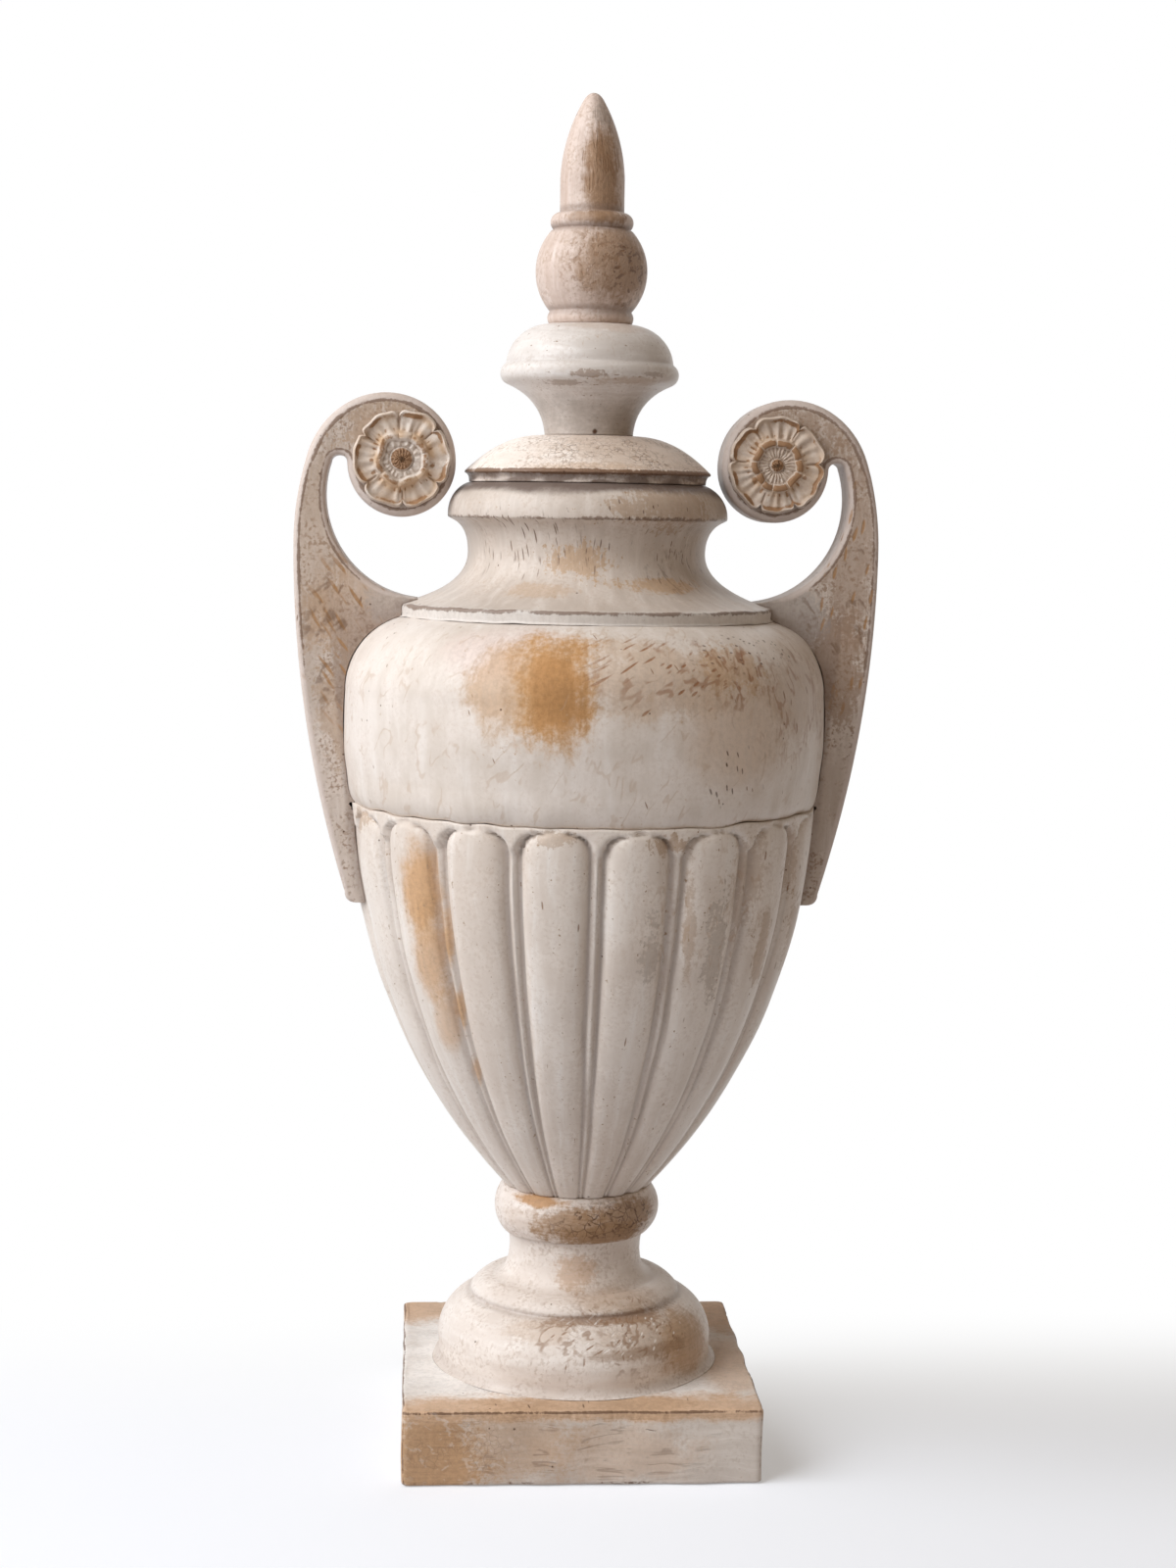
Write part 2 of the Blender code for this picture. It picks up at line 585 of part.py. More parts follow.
# Shoulder drum, with a tongue below and a mouth above for the neck's tongue
drum_inside = DRUM_RADIUS - DRUM_WALL
drum_mouth = MOUTH_RADIUS + NECK_TONGUE + SLIP_FIT
ceiling_z = DRUM_TOP_Z - DRUM_CEILING
outline = [(drum_mouth, DRUM_TOP_Z)] + drum_outside()
lip = drum_lip_radius()
outline += bend(outline[-1], (lip, DRUM_Z), (lip - DRUM_LIP_ROUND, DRUM_Z), 2)
outline += [(inner_radius + DRUM_TONGUE, DRUM_Z), (inner_radius + DRUM_TONGUE, DRUM_Z - DRUM_TONGUE_DEPTH),
            (inner_radius, DRUM_Z - DRUM_TONGUE_DEPTH), (drum_inside, DRUM_Z + DRUM_TONGUE_DEPTH),
            (drum_inside, ceiling_z - CEILING_BEND)]
outline += bend(outline[-1], (drum_inside, ceiling_z), (drum_inside - CEILING_BEND, ceiling_z), 3)
outline += [(drum_mouth, ceiling_z)]
mesh = turned_mesh("shoulder_drum", outline, LARGE_STEPS)
drum = placed("shoulder_drum", mesh, parts, drum_paint, DRUM_Z)

# Neck, with the mouth bored through it and through its tongue
outline = [(MOUTH_RADIUS, RIM_TOP_Z)] + neck_outside()
outline += [(MOUTH_RADIUS + NECK_TONGUE, NECK_Z), (MOUTH_RADIUS + NECK_TONGUE, NECK_Z - NECK_TONGUE_DEPTH),
            (MOUTH_RADIUS, NECK_Z - NECK_TONGUE_DEPTH)]
placed("neck", turned_mesh("neck", outline, LARGE_STEPS), parts, neck_paint, NECK_Z)

# Handles, each scribed to the body and dowelled to the drum
envelope = grown(neck_outside() + drum_outside() + bowl_outside(24), GLUE_LINE)
envelope = [(0, envelope[0][1])] + envelope + [(0, envelope[-1][1])]
scribe = as_cutter("body_envelope", turned_mesh("body_envelope", envelope, CUTTER_STEPS))
eye_x, eye_z = scroll_eye()
for side, turn in (("right", 0.0), ("left", math.pi)):
    board = board_mesh("handle_" + side, handle_outline(), turn)
    handle = placed("handle_" + side, board, parts, handle_paint)
    cut(handle, scribe, "scribed_edge")
    for order, name in enumerate(("upper", "lower")):
        level = DRUM_TOP_Z - SIDE_DOWEL_DROP - SIDE_DOWEL_SPACING * order
        inner_end = drum_inside + SIDE_DOWEL_COVER
        outer_end = handle_outer(level) - SIDE_DOWEL_COVER
        length = outer_end - inner_end
        spot = Matrix.Rotation(turn, 4, "Z") @ Matrix.Translation(((inner_end + outer_end) / 2, 0, level))
        spot = spot @ Matrix.Rotation(math.pi / 2, 4, "Y")
        label = "handle_dowel_" + side + "_" + name
        hole_mesh = dowel_mesh(label + "_hole", SIDE_DOWEL_RADIUS + SLIP_FIT, length + 2 * HOLE_SPARE,
                               DOWEL_CHAMFER, DOWEL_STEPS)
        hole_mesh.transform(spot)
        hole = as_cutter(label + "_hole", hole_mesh)
        cut(handle, hole, name + "_dowel_hole")
        cut(drum, hole, side + "_" + name + "_dowel_hole")
        dowel = placed(label, dowel_mesh(label, SIDE_DOWEL_RADIUS, length, DOWEL_CHAMFER, DOWEL_STEPS), parts,
                       dowel_wood)
        dowel.matrix_world = spot

# Rosettes: turned buttons whose rims are notched into petals, glued on the scrolls' faces
edge = SCROLL_EYE_RADIUS - ROSETTE_MARGIN
rosette_z = eye_z + ROSETTE_RISE
button = [(0, 1.0), (0.12, 0.95), (0.16, 0.62), (0.34, 0.58), (0.44, 0.92), (0.54, 0.55), (0.78, 0.6),
          (0.93, 0.86), (1.0, 0.6)]
outline = [(edge * across, ROSETTE_RELIEF * up) for across, up in button]
outline += [(edge * 0.94, 0), (0, 0)]
for side, sign, twist in (("right", 1, 0.0), ("left", -1, ROSETTE_TURN)):
    for face, turn in (("front", 0.0), ("back", math.pi)):
        label = "rosette_" + side + "_" + face
        mesh = turned_mesh(label, outline, PETAL_COUNT * PETAL_STEPS)
        carve_petals(mesh, edge)
        rosette = placed(label, mesh, parts, rosette_paint)
        upright = Matrix.Rotation(turn, 4, "Z") @ Matrix.Rotation(math.pi / 2, 4, "X")
        away = -(HANDLE_THICKNESS / 2 + GLUE_LINE) * math.cos(turn)
        rosette.matrix_world = (Matrix.Translation((sign * eye_x, away, rosette_z)) @ upright
                                @ Matrix.Rotation(twist, 4, "Z"))

# Lid: dome, sharp edge and undercut above, plug below
top_bore = TOP_DOWEL_RADIUS + SLIP_FIT
plug_radius = MOUTH_RADIUS - LID_PLAY
hole_depth = TOP_DOWEL_REACH + HOLE_SPARE
outline = [(0, LID_TOP_Z - hole_depth), (top_bore, LID_TOP_Z - hole_depth), (top_bore, LID_TOP_Z),
           (LID_CROWN_RADIUS, LID_TOP_Z)]
outline += bend(outline[-1], ((LID_CROWN_RADIUS + LID_RADIUS) / 2, LID_TOP_Z - 0.05 * LID_DOME_HEIGHT),
                (LID_RADIUS, LID_EDGE_Z + LID_EDGE_HEIGHT), 5)
outline += [(LID_RADIUS, LID_EDGE_Z)]
outline += bend(outline[-1], (LID_UNDERCUT_RADIUS, LID_EDGE_Z), (LID_UNDERCUT_RADIUS, LID_Z), 2)
outline += [(plug_radius, LID_Z), (plug_radius, LID_Z - PLUG_DEPTH + PLUG_CHAMFER),
            (plug_radius - PLUG_CHAMFER, LID_Z - PLUG_DEPTH), (0, LID_Z - PLUG_DEPTH)]
lid_pieces = [placed("lid", turned_mesh("lid", outline, LARGE_STEPS), parts, lid_paint, LID_Z)]

# Knob: cove stem, bead and cap, bored above and below
bead_edge = KNOB_BEAD_RADIUS - KNOB_BEAD_ROUND
outline = [(0, KNOB_TOP_Z - hole_depth), (top_bore, KNOB_TOP_Z - hole_depth), (top_bore, KNOB_TOP_Z),
           (KNOB_TOP_RADIUS, KNOB_TOP_Z)]
outline += arc(outline[-1], (bead_edge, KNOB_CAP_Z), KNOB_CAP_ROUND, 5)
outline += arc(outline[-1], (bead_edge, KNOB_BEAD_Z), KNOB_BEAD_ROUND, 4)
outline += bend(outline[-1], (STEM_RADIUS + STEM_TAPER, KNOB_BEAD_Z - STEM_COVE), (STEM_RADIUS, KNOB_Z), 5)
outline += [(top_bore, KNOB_Z), (top_bore, KNOB_Z + hole_depth), (0, KNOB_Z + hole_depth)]
mesh = turned_mesh("lid_knob", outline, SMALL_STEPS)
lid_pieces.append(placed("lid_knob", mesh, parts, knob_paint, KNOB_Z))

# Finial: bead, ball, bead and pointed spire
ball_z = FINIAL_Z + FOOT_BEAD_HEIGHT
collar_z = ball_z + BALL_HEIGHT
shank_z = collar_z + NECK_BEAD_HEIGHT
point_z = shank_z + SPIRE_SHANK
tip_z = point_z + SPIRE_POINT
ball_edge = math.sqrt(BALL_RADIUS ** 2 - (BALL_HEIGHT / 2) ** 2)
outline = [(0, tip_z)]
outline += bend(outline[-1], (SPIRE_TIP_CORNER, tip_z), (SPIRE_TIP_RADIUS, tip_z - SPIRE_TIP_DROP), 3)
outline += arc(outline[-1], (SPIRE_RADIUS, point_z), SPIRE_ROUND, 6)
outline += [(SPIRE_RADIUS, shank_z)]
outline += arc(outline[-1], (ball_edge - NECK_BEAD_STEP, collar_z), NECK_BEAD_RADIUS - SPIRE_RADIUS, 4)
outline += arc(outline[-1], (ball_edge, ball_z), BALL_RADIUS - ball_edge, 8)
outline += arc(outline[-1], (ball_edge, FINIAL_Z), FOOT_BEAD_RADIUS - ball_edge, 3)
outline += [(top_bore, FINIAL_Z), (top_bore, FINIAL_Z + hole_depth), (0, FINIAL_Z + hole_depth)]
mesh = turned_mesh("finial", outline, SMALL_STEPS)
lid_pieces.append(placed("finial", mesh, parts, finial_paint, FINIAL_Z))

# Dowels between lid, knob and finial
for label, joint_z in (("knob_dowel", KNOB_Z), ("finial_dowel", FINIAL_Z)):
    mesh = dowel_mesh(label, TOP_DOWEL_RADIUS, 2 * TOP_DOWEL_REACH, DOWEL_CHAMFER, DOWEL_STEPS)
    lid_pieces.append(placed(label, mesh, parts, dowel_wood))
    lid_pieces[-1].location.z = joint_z - GLUE_LINE / 2

# The lid lifts as one: its pieces hang on an empty on the axis, at the rim
lift = bpy.data.objects.new("lid_lift", None)
lift.location.z = LID_Z
parts.objects.link(lift)
bpy.context.view_layer.update()
for piece in lid_pieces:
    piece.parent = lift
    piece.matrix_parent_inverse = lift.matrix_world.inverted()
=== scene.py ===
import math

import bpy
import numpy as np
from mathutils import Matrix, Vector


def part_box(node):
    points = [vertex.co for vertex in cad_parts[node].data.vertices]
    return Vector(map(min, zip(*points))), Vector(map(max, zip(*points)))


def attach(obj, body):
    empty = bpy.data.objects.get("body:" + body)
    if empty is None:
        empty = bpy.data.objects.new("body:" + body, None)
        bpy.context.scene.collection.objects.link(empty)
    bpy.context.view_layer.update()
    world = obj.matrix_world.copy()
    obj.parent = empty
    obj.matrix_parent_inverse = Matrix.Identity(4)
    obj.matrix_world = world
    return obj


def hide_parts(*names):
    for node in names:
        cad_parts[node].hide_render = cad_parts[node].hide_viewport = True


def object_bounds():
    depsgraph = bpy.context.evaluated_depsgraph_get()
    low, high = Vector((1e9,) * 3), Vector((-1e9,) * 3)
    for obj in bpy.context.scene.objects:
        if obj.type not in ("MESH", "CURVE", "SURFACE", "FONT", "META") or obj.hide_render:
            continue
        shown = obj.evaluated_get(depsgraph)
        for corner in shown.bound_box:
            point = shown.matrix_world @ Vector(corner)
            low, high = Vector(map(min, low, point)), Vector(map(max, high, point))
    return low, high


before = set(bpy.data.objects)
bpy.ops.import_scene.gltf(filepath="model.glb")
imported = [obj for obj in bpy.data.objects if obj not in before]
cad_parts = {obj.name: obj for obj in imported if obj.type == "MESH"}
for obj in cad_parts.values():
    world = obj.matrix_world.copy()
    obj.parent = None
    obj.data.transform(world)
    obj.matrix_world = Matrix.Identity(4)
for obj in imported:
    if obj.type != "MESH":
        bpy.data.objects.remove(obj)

mm = 0.001
cadLow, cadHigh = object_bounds()
sections = {}                                  # outside outlines of turned pieces, to scribe the handles
print("frame loaded:", len(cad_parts), "nodes")


# outlines and surfaces

runSamples = 80                                # points on each run of an outline, before it is spaced evenly
insideStep = 5                                 # spacing in mm along bores and hollows
axisClear = 2                                  # unevenness stops this close to the axis, in mm
centreBore, centreDepth = 10.3, 20.6           # bore for the centre dowel, and its depth in plinth and bowl
pinBore, pinDepth = 5.3, 12.6                  # bores for the dowels of knob and finial


def span(node):                                # base level, height and half width of a node, in mm
    low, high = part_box(node)
    return low.z / mm, (high.z - low.z) / mm, (high.x - low.x) / 2 / mm


def corners(node):                             # low and high corner of a node's box, in mm
    return [np.array(corner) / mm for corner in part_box(node)]


def wayAlong(line):                            # length of a line up to each of its points
    return np.concatenate([[0], np.cumsum(np.hypot(*np.diff(line, axis=0).T))])


def evenPoints(line, spacing):                 # points at even steps along a line, and the way gone at each
    gone = wayAlong(line)
    even = np.linspace(0, gone[-1], max(3, int(gone[-1] / spacing) + 1))
    return np.column_stack([np.interp(even, gone, line[:, 0]), np.interp(even, gone, line[:, 1])]), even


def traceOutline(steps, spacing):
    # joins straight runs, arcs (end point and bow) and parabolas (corner and end point), evenly spaced
    runs = [np.array([steps[0][1:]], float)]
    t = np.linspace(0, 1, runSamples + 1)[1:, None]
    for kind, *value in steps[1:]:
        start = runs[-1][-1]
        end = np.array(value[2:4] if kind == "bend" else value[:2], float)
        if kind == "bend":
            runs.append((1 - t) ** 2 * start + 2 * t * (1 - t) * np.array(value[:2]) + t ** 2 * end)
        elif kind == "arc":                    # bows to the side that is outside where the outline runs down
            along = end - start
            chord = np.hypot(*along)
            out = np.array([-along[1], along[0]]) / chord
            radius = chord ** 2 / (8 * value[2]) + value[2] / 2
            half = math.asin(min(1, chord / 2 / abs(radius)))
            angle = half * (2 * t - 1)
            runs.append(start + along * (0.5 + abs(radius) * np.sin(angle) / chord)
                        + out * radius * (np.cos(angle) - math.cos(half)))
        else:
            runs.append(start + (end - start) * t)
    return evenPoints(np.concatenate(runs), spacing)[0]


def blur(values, width, ring=False):           # bell-shaped running mean, width in samples
    reach = max(1, int(width * 3))
    weights = np.exp(-0.5 * (np.arange(-reach, reach + 1) / width) ** 2)
    padded = np.pad(values, reach, mode="wrap" if ring else "edge")
    return np.convolve(padded, weights / weights.sum(), mode="valid")


def bell(x, width):                            # bell curve, exp(-(x / width)^2)
    return np.exp(-(x / width) ** 2)


def easeStep(x, low, high):                    # smooth step from 0 at low to 1 at high
    t = np.clip((x - low) / (high - low), 0, 1)
    return t * t * (3 - 2 * t)


def ripple(theta, along, seed, turns=7, pitch=70, count=20):
    # hand-made unevenness: a sum of cosines with whole turns round the axis and random pitches along it
    dice = np.random.default_rng(seed)
    k = dice.integers(1, turns + 1, count)
    w = dice.normal(0, 2 * math.pi / pitch, count)
    start = dice.uniform(0, 2 * math.pi, count)
    total = np.zeros(np.broadcast(theta, along).shape)
    for kk, ww, ss in zip(k, w, start):
        total += np.cos(kk * theta + ww * along + ss)
    return total / math.sqrt(count / 2)


def ringFaces(rows, cols, closed):             # quads between neighbouring rings of a grid
    i = np.arange(rows if closed else rows - 1)[:, None]
    j = np.arange(cols)[None, :]
    nextRow, nextCol = (i + 1) % rows * cols, (j + 1) % cols
    return np.stack([i * cols + j, nextRow + j, nextRow + nextCol, i * cols + nextCol], -1).reshape(-1, 4)


def capFaces(cols, last):                      # two fans: first point to first ring, last point to last ring
    j = np.arange(cols)
    after = (j + 1) % cols
    ring = last - cols
    opening = np.column_stack([0 * j, 1 + j, 1 + after])
    ending = np.column_stack([0 * j + last, ring + after, ring + j])
    return [opening, ending]


def makePiece(name, points, faces, marks, body, paint, flat=0):
    # points in mm; faces is a list of index arrays, turned round if their volume is negative;
    # the last flat faces stay flat shaded
    points = np.asarray(points, float) * mm
    volume = 0
    for block in faces:
        for k in range(1, block.shape[1] - 1):
            a, b, c = points[block[:, 0]], points[block[:, k]], points[block[:, k + 1]]
            volume += np.einsum("ij,ij->", a, np.cross(b, c))
    if volume < 0:
        faces = [block[:, ::-1] for block in faces]
    loops = np.concatenate([block.ravel() for block in faces])
    sizes = np.concatenate([np.full(len(block), block.shape[1]) for block in faces])
    mesh = bpy.data.meshes.new(name)
    mesh.vertices.add(len(points))
    mesh.vertices.foreach_set("co", points.ravel())
    mesh.loops.add(len(loops))
    mesh.loops.foreach_set("vertex_index", loops.astype(np.int32))
    mesh.polygons.add(len(sizes))
    mesh.polygons.foreach_set("loop_start", np.concatenate([[0], np.cumsum(sizes)[:-1]]).astype(np.int32))
    mesh.polygons.foreach_set("use_smooth", np.arange(len(sizes)) < len(sizes) - flat)
    mesh.update(calc_edges=True)
    mesh.validate()
    for label, values in marks.items():
        values = np.asarray(values, float)
        kind, field = ("FLOAT_VECTOR", "vector") if values.ndim == 2 else ("FLOAT", "value")
        mesh.attributes.new(label, kind, "POINT").data.foreach_set(field, values.ravel())
    mesh.materials.append(paint)
    piece = bpy.data.objects.new(name + "_look", mesh)
    bpy.context.scene.collection.objects.link(piece)
    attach(piece, body)
    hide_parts(name)
    print("made", piece.name, len(points), "points")


# wear on arrises, and grime with painted shade in hollows, of turned pieces:
# the bend per mm where it starts and its limit, how far it spreads in mm, and its gain
turnedWearAndShade = {
    "rub": {"from": 0.12, "most": 2, "spread": 1.3, "gain": 3.5},
    "grimeAndShade": {"from": 0.04, "most": 1, "spread": 2.2, "gain": 5},
}


def bendMark(bend, step, wear):                    # 0 to 1: the bend past its start, blurred, times the gain
    past = np.clip(bend - wear["from"], 0, wear["most"])
    return np.clip(blur(past, wear["spread"] / step) * wear["gain"], 0, 1)


def turnPiece(name, body, look, paint, carve=None):
    # turns an outline about the axis: x = r sin(angle), y = -r cos(angle);
    # carve may shift r and z of the outside and change its wear, grime and painted shade
    base, height, reach = span(name)
    step = look["step"]
    outside = traceOutline(look["outside"](height, reach), step)
    for column in (0, 1):                      # soften the arrises, ends held
        ends = outside[[0, -1], column].copy()
        outside[:, column] = blur(outside[:, column], look["arris"] / step)
        outside[[0, -1], column] = ends
    inside = traceOutline([("at", *outside[-1])] + look["inside"](height, reach), insideStep)[1:]
    solid = inside[-1, 0] < 1e-6               # the outline starts and ends on the axis
    if not solid:
        closing = traceOutline([("at", *inside[-1]), ("to", *outside[0])], insideStep)
        inside = np.concatenate([inside, closing[1:-1]])
    sections[name] = outside + [0, base]
    loop = np.concatenate([outside, inside])
    r, z = loop[:, :1], loop[:, 1:] + base
    s = wayAlong(loop)[:, None]
    theta = np.linspace(0, 2 * math.pi, look["cols"], endpoint=False)[None, :]
    onOutside = np.arange(len(loop))[:, None] < len(outside)
    uneven = ripple(theta, s, look["seed"]) * look["uneven"] * onOutside
    rr, zz = r + uneven * (r > axisClear), z + 0 * theta

    # arrises rub through, and hollows hold grime and painted shade: both from the outline's bend
    slope = np.unwrap(np.arctan2(np.gradient(outside[:, 1]), np.gradient(outside[:, 0])))
    bend = -np.gradient(slope) / step
    rub, grimeAndShade = np.zeros((2, len(loop), 1))
    rub[:len(outside), 0] = bendMark(bend, step, turnedWearAndShade["rub"])
    grimeAndShade[:len(outside), 0] = bendMark(-bend, step, turnedWearAndShade["grimeAndShade"])
    rub, grimeAndShade = rub + 0 * theta, grimeAndShade + 0 * theta
    if carve:
        rr, zz, rub, grimeAndShade = carve(theta, z, r, rr, zz, rub, grimeAndShade, onOutside)

    wide = loop[:, 0].max()
    lay = np.stack(np.broadcast_arrays(wide * np.sin(theta), -wide * np.cos(theta), s), -1) * mm
    points = np.stack([rr * np.sin(theta), -rr * np.cos(theta), zz], -1)
    rows, cols = rr.shape
    grid = [points.reshape(-1, 3), lay.reshape(-1, 3), rub.ravel(), grimeAndShade.ravel()]
    faces = [ringFaces(rows, cols, not solid)]
    if solid:                                  # each end ring on the axis becomes one point
        grid = [np.concatenate([g[cols - 1:-cols], g[-1:]]) for g in grid]
        faces = [faces[0][cols:-cols] - (cols - 1)] + capFaces(cols, len(grid[0]) - 1)
    makePiece(name, grid[0], faces, dict(zip(("lay", "rub", "grimeAndShade"), grid[1:])), body, paint)


# paint, as shader nodes

def mathMethod(operation, turned=False):       # an operator's method; turned puts the other term first
    def method(self, other):
        return self.work(operation, other, self) if turned else self.work(operation, self, other)
    return method


class Wire:                                    # a socket in sums: each operator adds a Math node
    def __init__(self, tree, socket):
        self.tree, self.socket = tree, socket

    def work(self, operation, *terms):         # one Math node over wires and numbers
        node = self.tree.nodes.new("ShaderNodeMath")
        node.operation = operation
        for socket, term in zip(node.inputs, terms):
            if isinstance(term, Wire):
                self.tree.links.new(term.socket, socket)
            else:
                socket.default_value = term
        return Wire(self.tree, node.outputs[0])

    __add__, __radd__ = mathMethod("ADD"), mathMethod("ADD", True)
    __sub__, __rsub__ = mathMethod("SUBTRACT"), mathMethod("SUBTRACT", True)
    __mul__, __rmul__ = mathMethod("MULTIPLY"), mathMethod("MULTIPLY", True)
    __pow__ = mathMethod("POWER")
    __lt__ = mathMethod("LESS_THAN")


def hue(red, green, blue):                     # screen colour, 0 to 255, as the linear colour of a socket
    c = np.array([red, green, blue]) / 255
    c = np.where(c <= 0.04045, c / 12.92, ((c + 0.055) / 1.055) ** 2.4)
    return (*map(float, c), 1.0)


class Bench:                                   # the node tree of one material or of the world
    def __init__(self, owner):
        owner.use_nodes = True
        self.tree = owner.node_tree
        self.tree.nodes.clear()

    def add(self, kind, settings=None, sockets=None, out=0):
        # a node by its type, its settings, the values or links of its sockets, and the output to read
        node = self.tree.nodes.new(kind)
        for key, value in (settings or {}).items():
            setattr(node, key, value)
        for key, value in (sockets or {}).items():
            if isinstance(value, Wire):
                self.tree.links.new(value.socket, node.inputs[key])
            else:
                node.inputs[key].default_value = value
        return Wire(self.tree, node.outputs[out]) if node.outputs else None

    def cells(self, vector, size, turn=(0, 0, 0), move=(0, 0, 0)):   # a pattern space with cells of size mm
        size = size if isinstance(size, tuple) else (size,) * 3
        return self.add("ShaderNodeMapping", {"vector_type": "TEXTURE"},
                        {"Vector": vector, "Scale": tuple(v * mm for v in size),
                         "Rotation": tuple(map(math.radians, turn)), "Location": tuple(v * mm for v in move)})

    def noise(self, vector, size, detail=3, rough=0.55, turn=(0, 0, 0), move=(0, 0, 0)):
        # layered noise in such a space, with its middle value at a half
        space = self.cells(vector, size, turn, move)
        return self.add("ShaderNodeTexNoise", {},
                        {"Vector": space, "Scale": 1.0, "Detail": float(detail), "Roughness": rough})

    def ease(self, value, low, high):          # smooth step from 0 at low to 1 at high
        return self.add("ShaderNodeMapRange", {"interpolation_type": "SMOOTHSTEP"},
                        {"Value": value, "From Min": low, "From Max": high})

    def tint(self, share, first, second):      # first colour, with a share of the second
        return self.add("ShaderNodeMix", {"data_type": "RGBA"}, {0: share, 6: first, 7: second}, 2)

    def mark(self, name, out="Fac"):           # a mark that the mesh carries at each point
        return self.add("ShaderNodeAttribute", {"attribute_name": name}, {}, out)

    def spots(self, vector, size, radius, share, turn=(0, 0, 0), move=(0, 0, 0)):
        # marks scattered over cells: round where the cells are, long where the cells are long
        space = self.cells(vector, size, turn, move)
        far = self.add("ShaderNodeTexVoronoi", {}, {"Vector": space, "Scale": 1.0})
        chance = self.add("ShaderNodeTexVoronoi", {}, {"Vector": space, "Scale": 1.0}, "Color")
        chance = self.add("ShaderNodeSeparateColor", {}, {"Color": chance}, "Red")
        return (1 - self.ease(far, radius * 0.55, radius)) * (chance < share)

    def cracks(self, vector, size, width, wander=0.7):
        # a net of fine lines: the borders between cells whose space is bent by a noise
        coarse = self.cells(vector, size * 1.7)
        bent = self.add("ShaderNodeTexNoise", {}, {"Vector": coarse, "Scale": 1.0}, "Color")
        bent = self.add("ShaderNodeVectorMath", {"operation": "SCALE"}, {0: bent, "Scale": wander})
        space = self.add("ShaderNodeVectorMath", {"operation": "ADD"}, {0: self.cells(vector, size), 1: bent})
        edge = {"Vector": space, "Scale": 1.0}
        edge = self.add("ShaderNodeTexVoronoi", {"feature": "DISTANCE_TO_EDGE"}, edge)
        return 1 - self.ease(edge, width * 0.3, width)

    def squiggles(self, vector, size, width, turn, move):
        # wandering scratches: the thin lines along which a noise is at its middle value,
        # broken up by a second noise
        wave = self.noise(vector, size, 2, 0.5, turn, move) - 0.5
        line = 1 - self.ease(wave.work("ABSOLUTE", wave), width * 0.3, width)
        breaks = self.noise(vector, max(size) * 0.45, 2, 0.5, turn, (move[2], move[0], move[1]))
        return line * self.ease(breaks, 0.5, 0.58)

    def area(self, spot, place, size, ragged, inner=0.45, block=2):
        # 1 inside an oval round a place, falling to 0 at its size, with a ragged edge;
        # a higher block squares the oval
        space = self.cells(spot, size, move=place)
        if block == 2:
            away = self.add("ShaderNodeVectorMath", {"operation": "LENGTH"}, {0: space}, 1)
        else:
            sides = [self.add("ShaderNodeSeparateXYZ", {}, {"Vector": space}, axis) for axis in "XYZ"]
            x, y, z = (side.work("ABSOLUTE", side) ** block for side in sides)
            away = (x + y + z) ** (1 / block)
        return 1 - self.ease(away + ragged, inner, 1.0)


# tones of the coat as screen colours; a piece may give its own
coatColours = {
    "cream": (214, 203, 193), "greige": (196, 183, 172), "chalk": (229, 224, 219), "pale": (206, 192, 182),
    "stain": (176, 146, 118), "umber": (84, 58, 42), "ochre": (184, 136, 86), "pit": (158, 130, 106),
    # grime is the tone of grime and of painted shade in hollows and under edges
    "grimeAndShade": (128, 110, 100), "rub": (134, 100, 72),
}
# a patch: place, size, tone, share, raggedness (0 a soft wash, 1 a dry speckled stroke), block if squared
# a dash: cell size, radius, share of cells, lean in degrees, area (place and size) or None, tone
# a scratch: noise size, width, share, lean in degrees, area or None, tone
# a crackle: cell size, width, share, area
coatDefaults = {
    "stroke": (4, 4, 34), "chalkShare": 0.3, "pitShare": 0.2, "grimeAndShadeShare": 0.6, "rubShare": 0.6,
    "stipple": 0.2, "patches": [], "dashes": [], "scratches": [], "crackle": [], "specks": 0.1, "bump": 0.35,
    "gloss": 0.42, "bumpDepth": 0.6, "shine": 0.2, "sway": 6, "swaySize": 24, "colours": {},
}


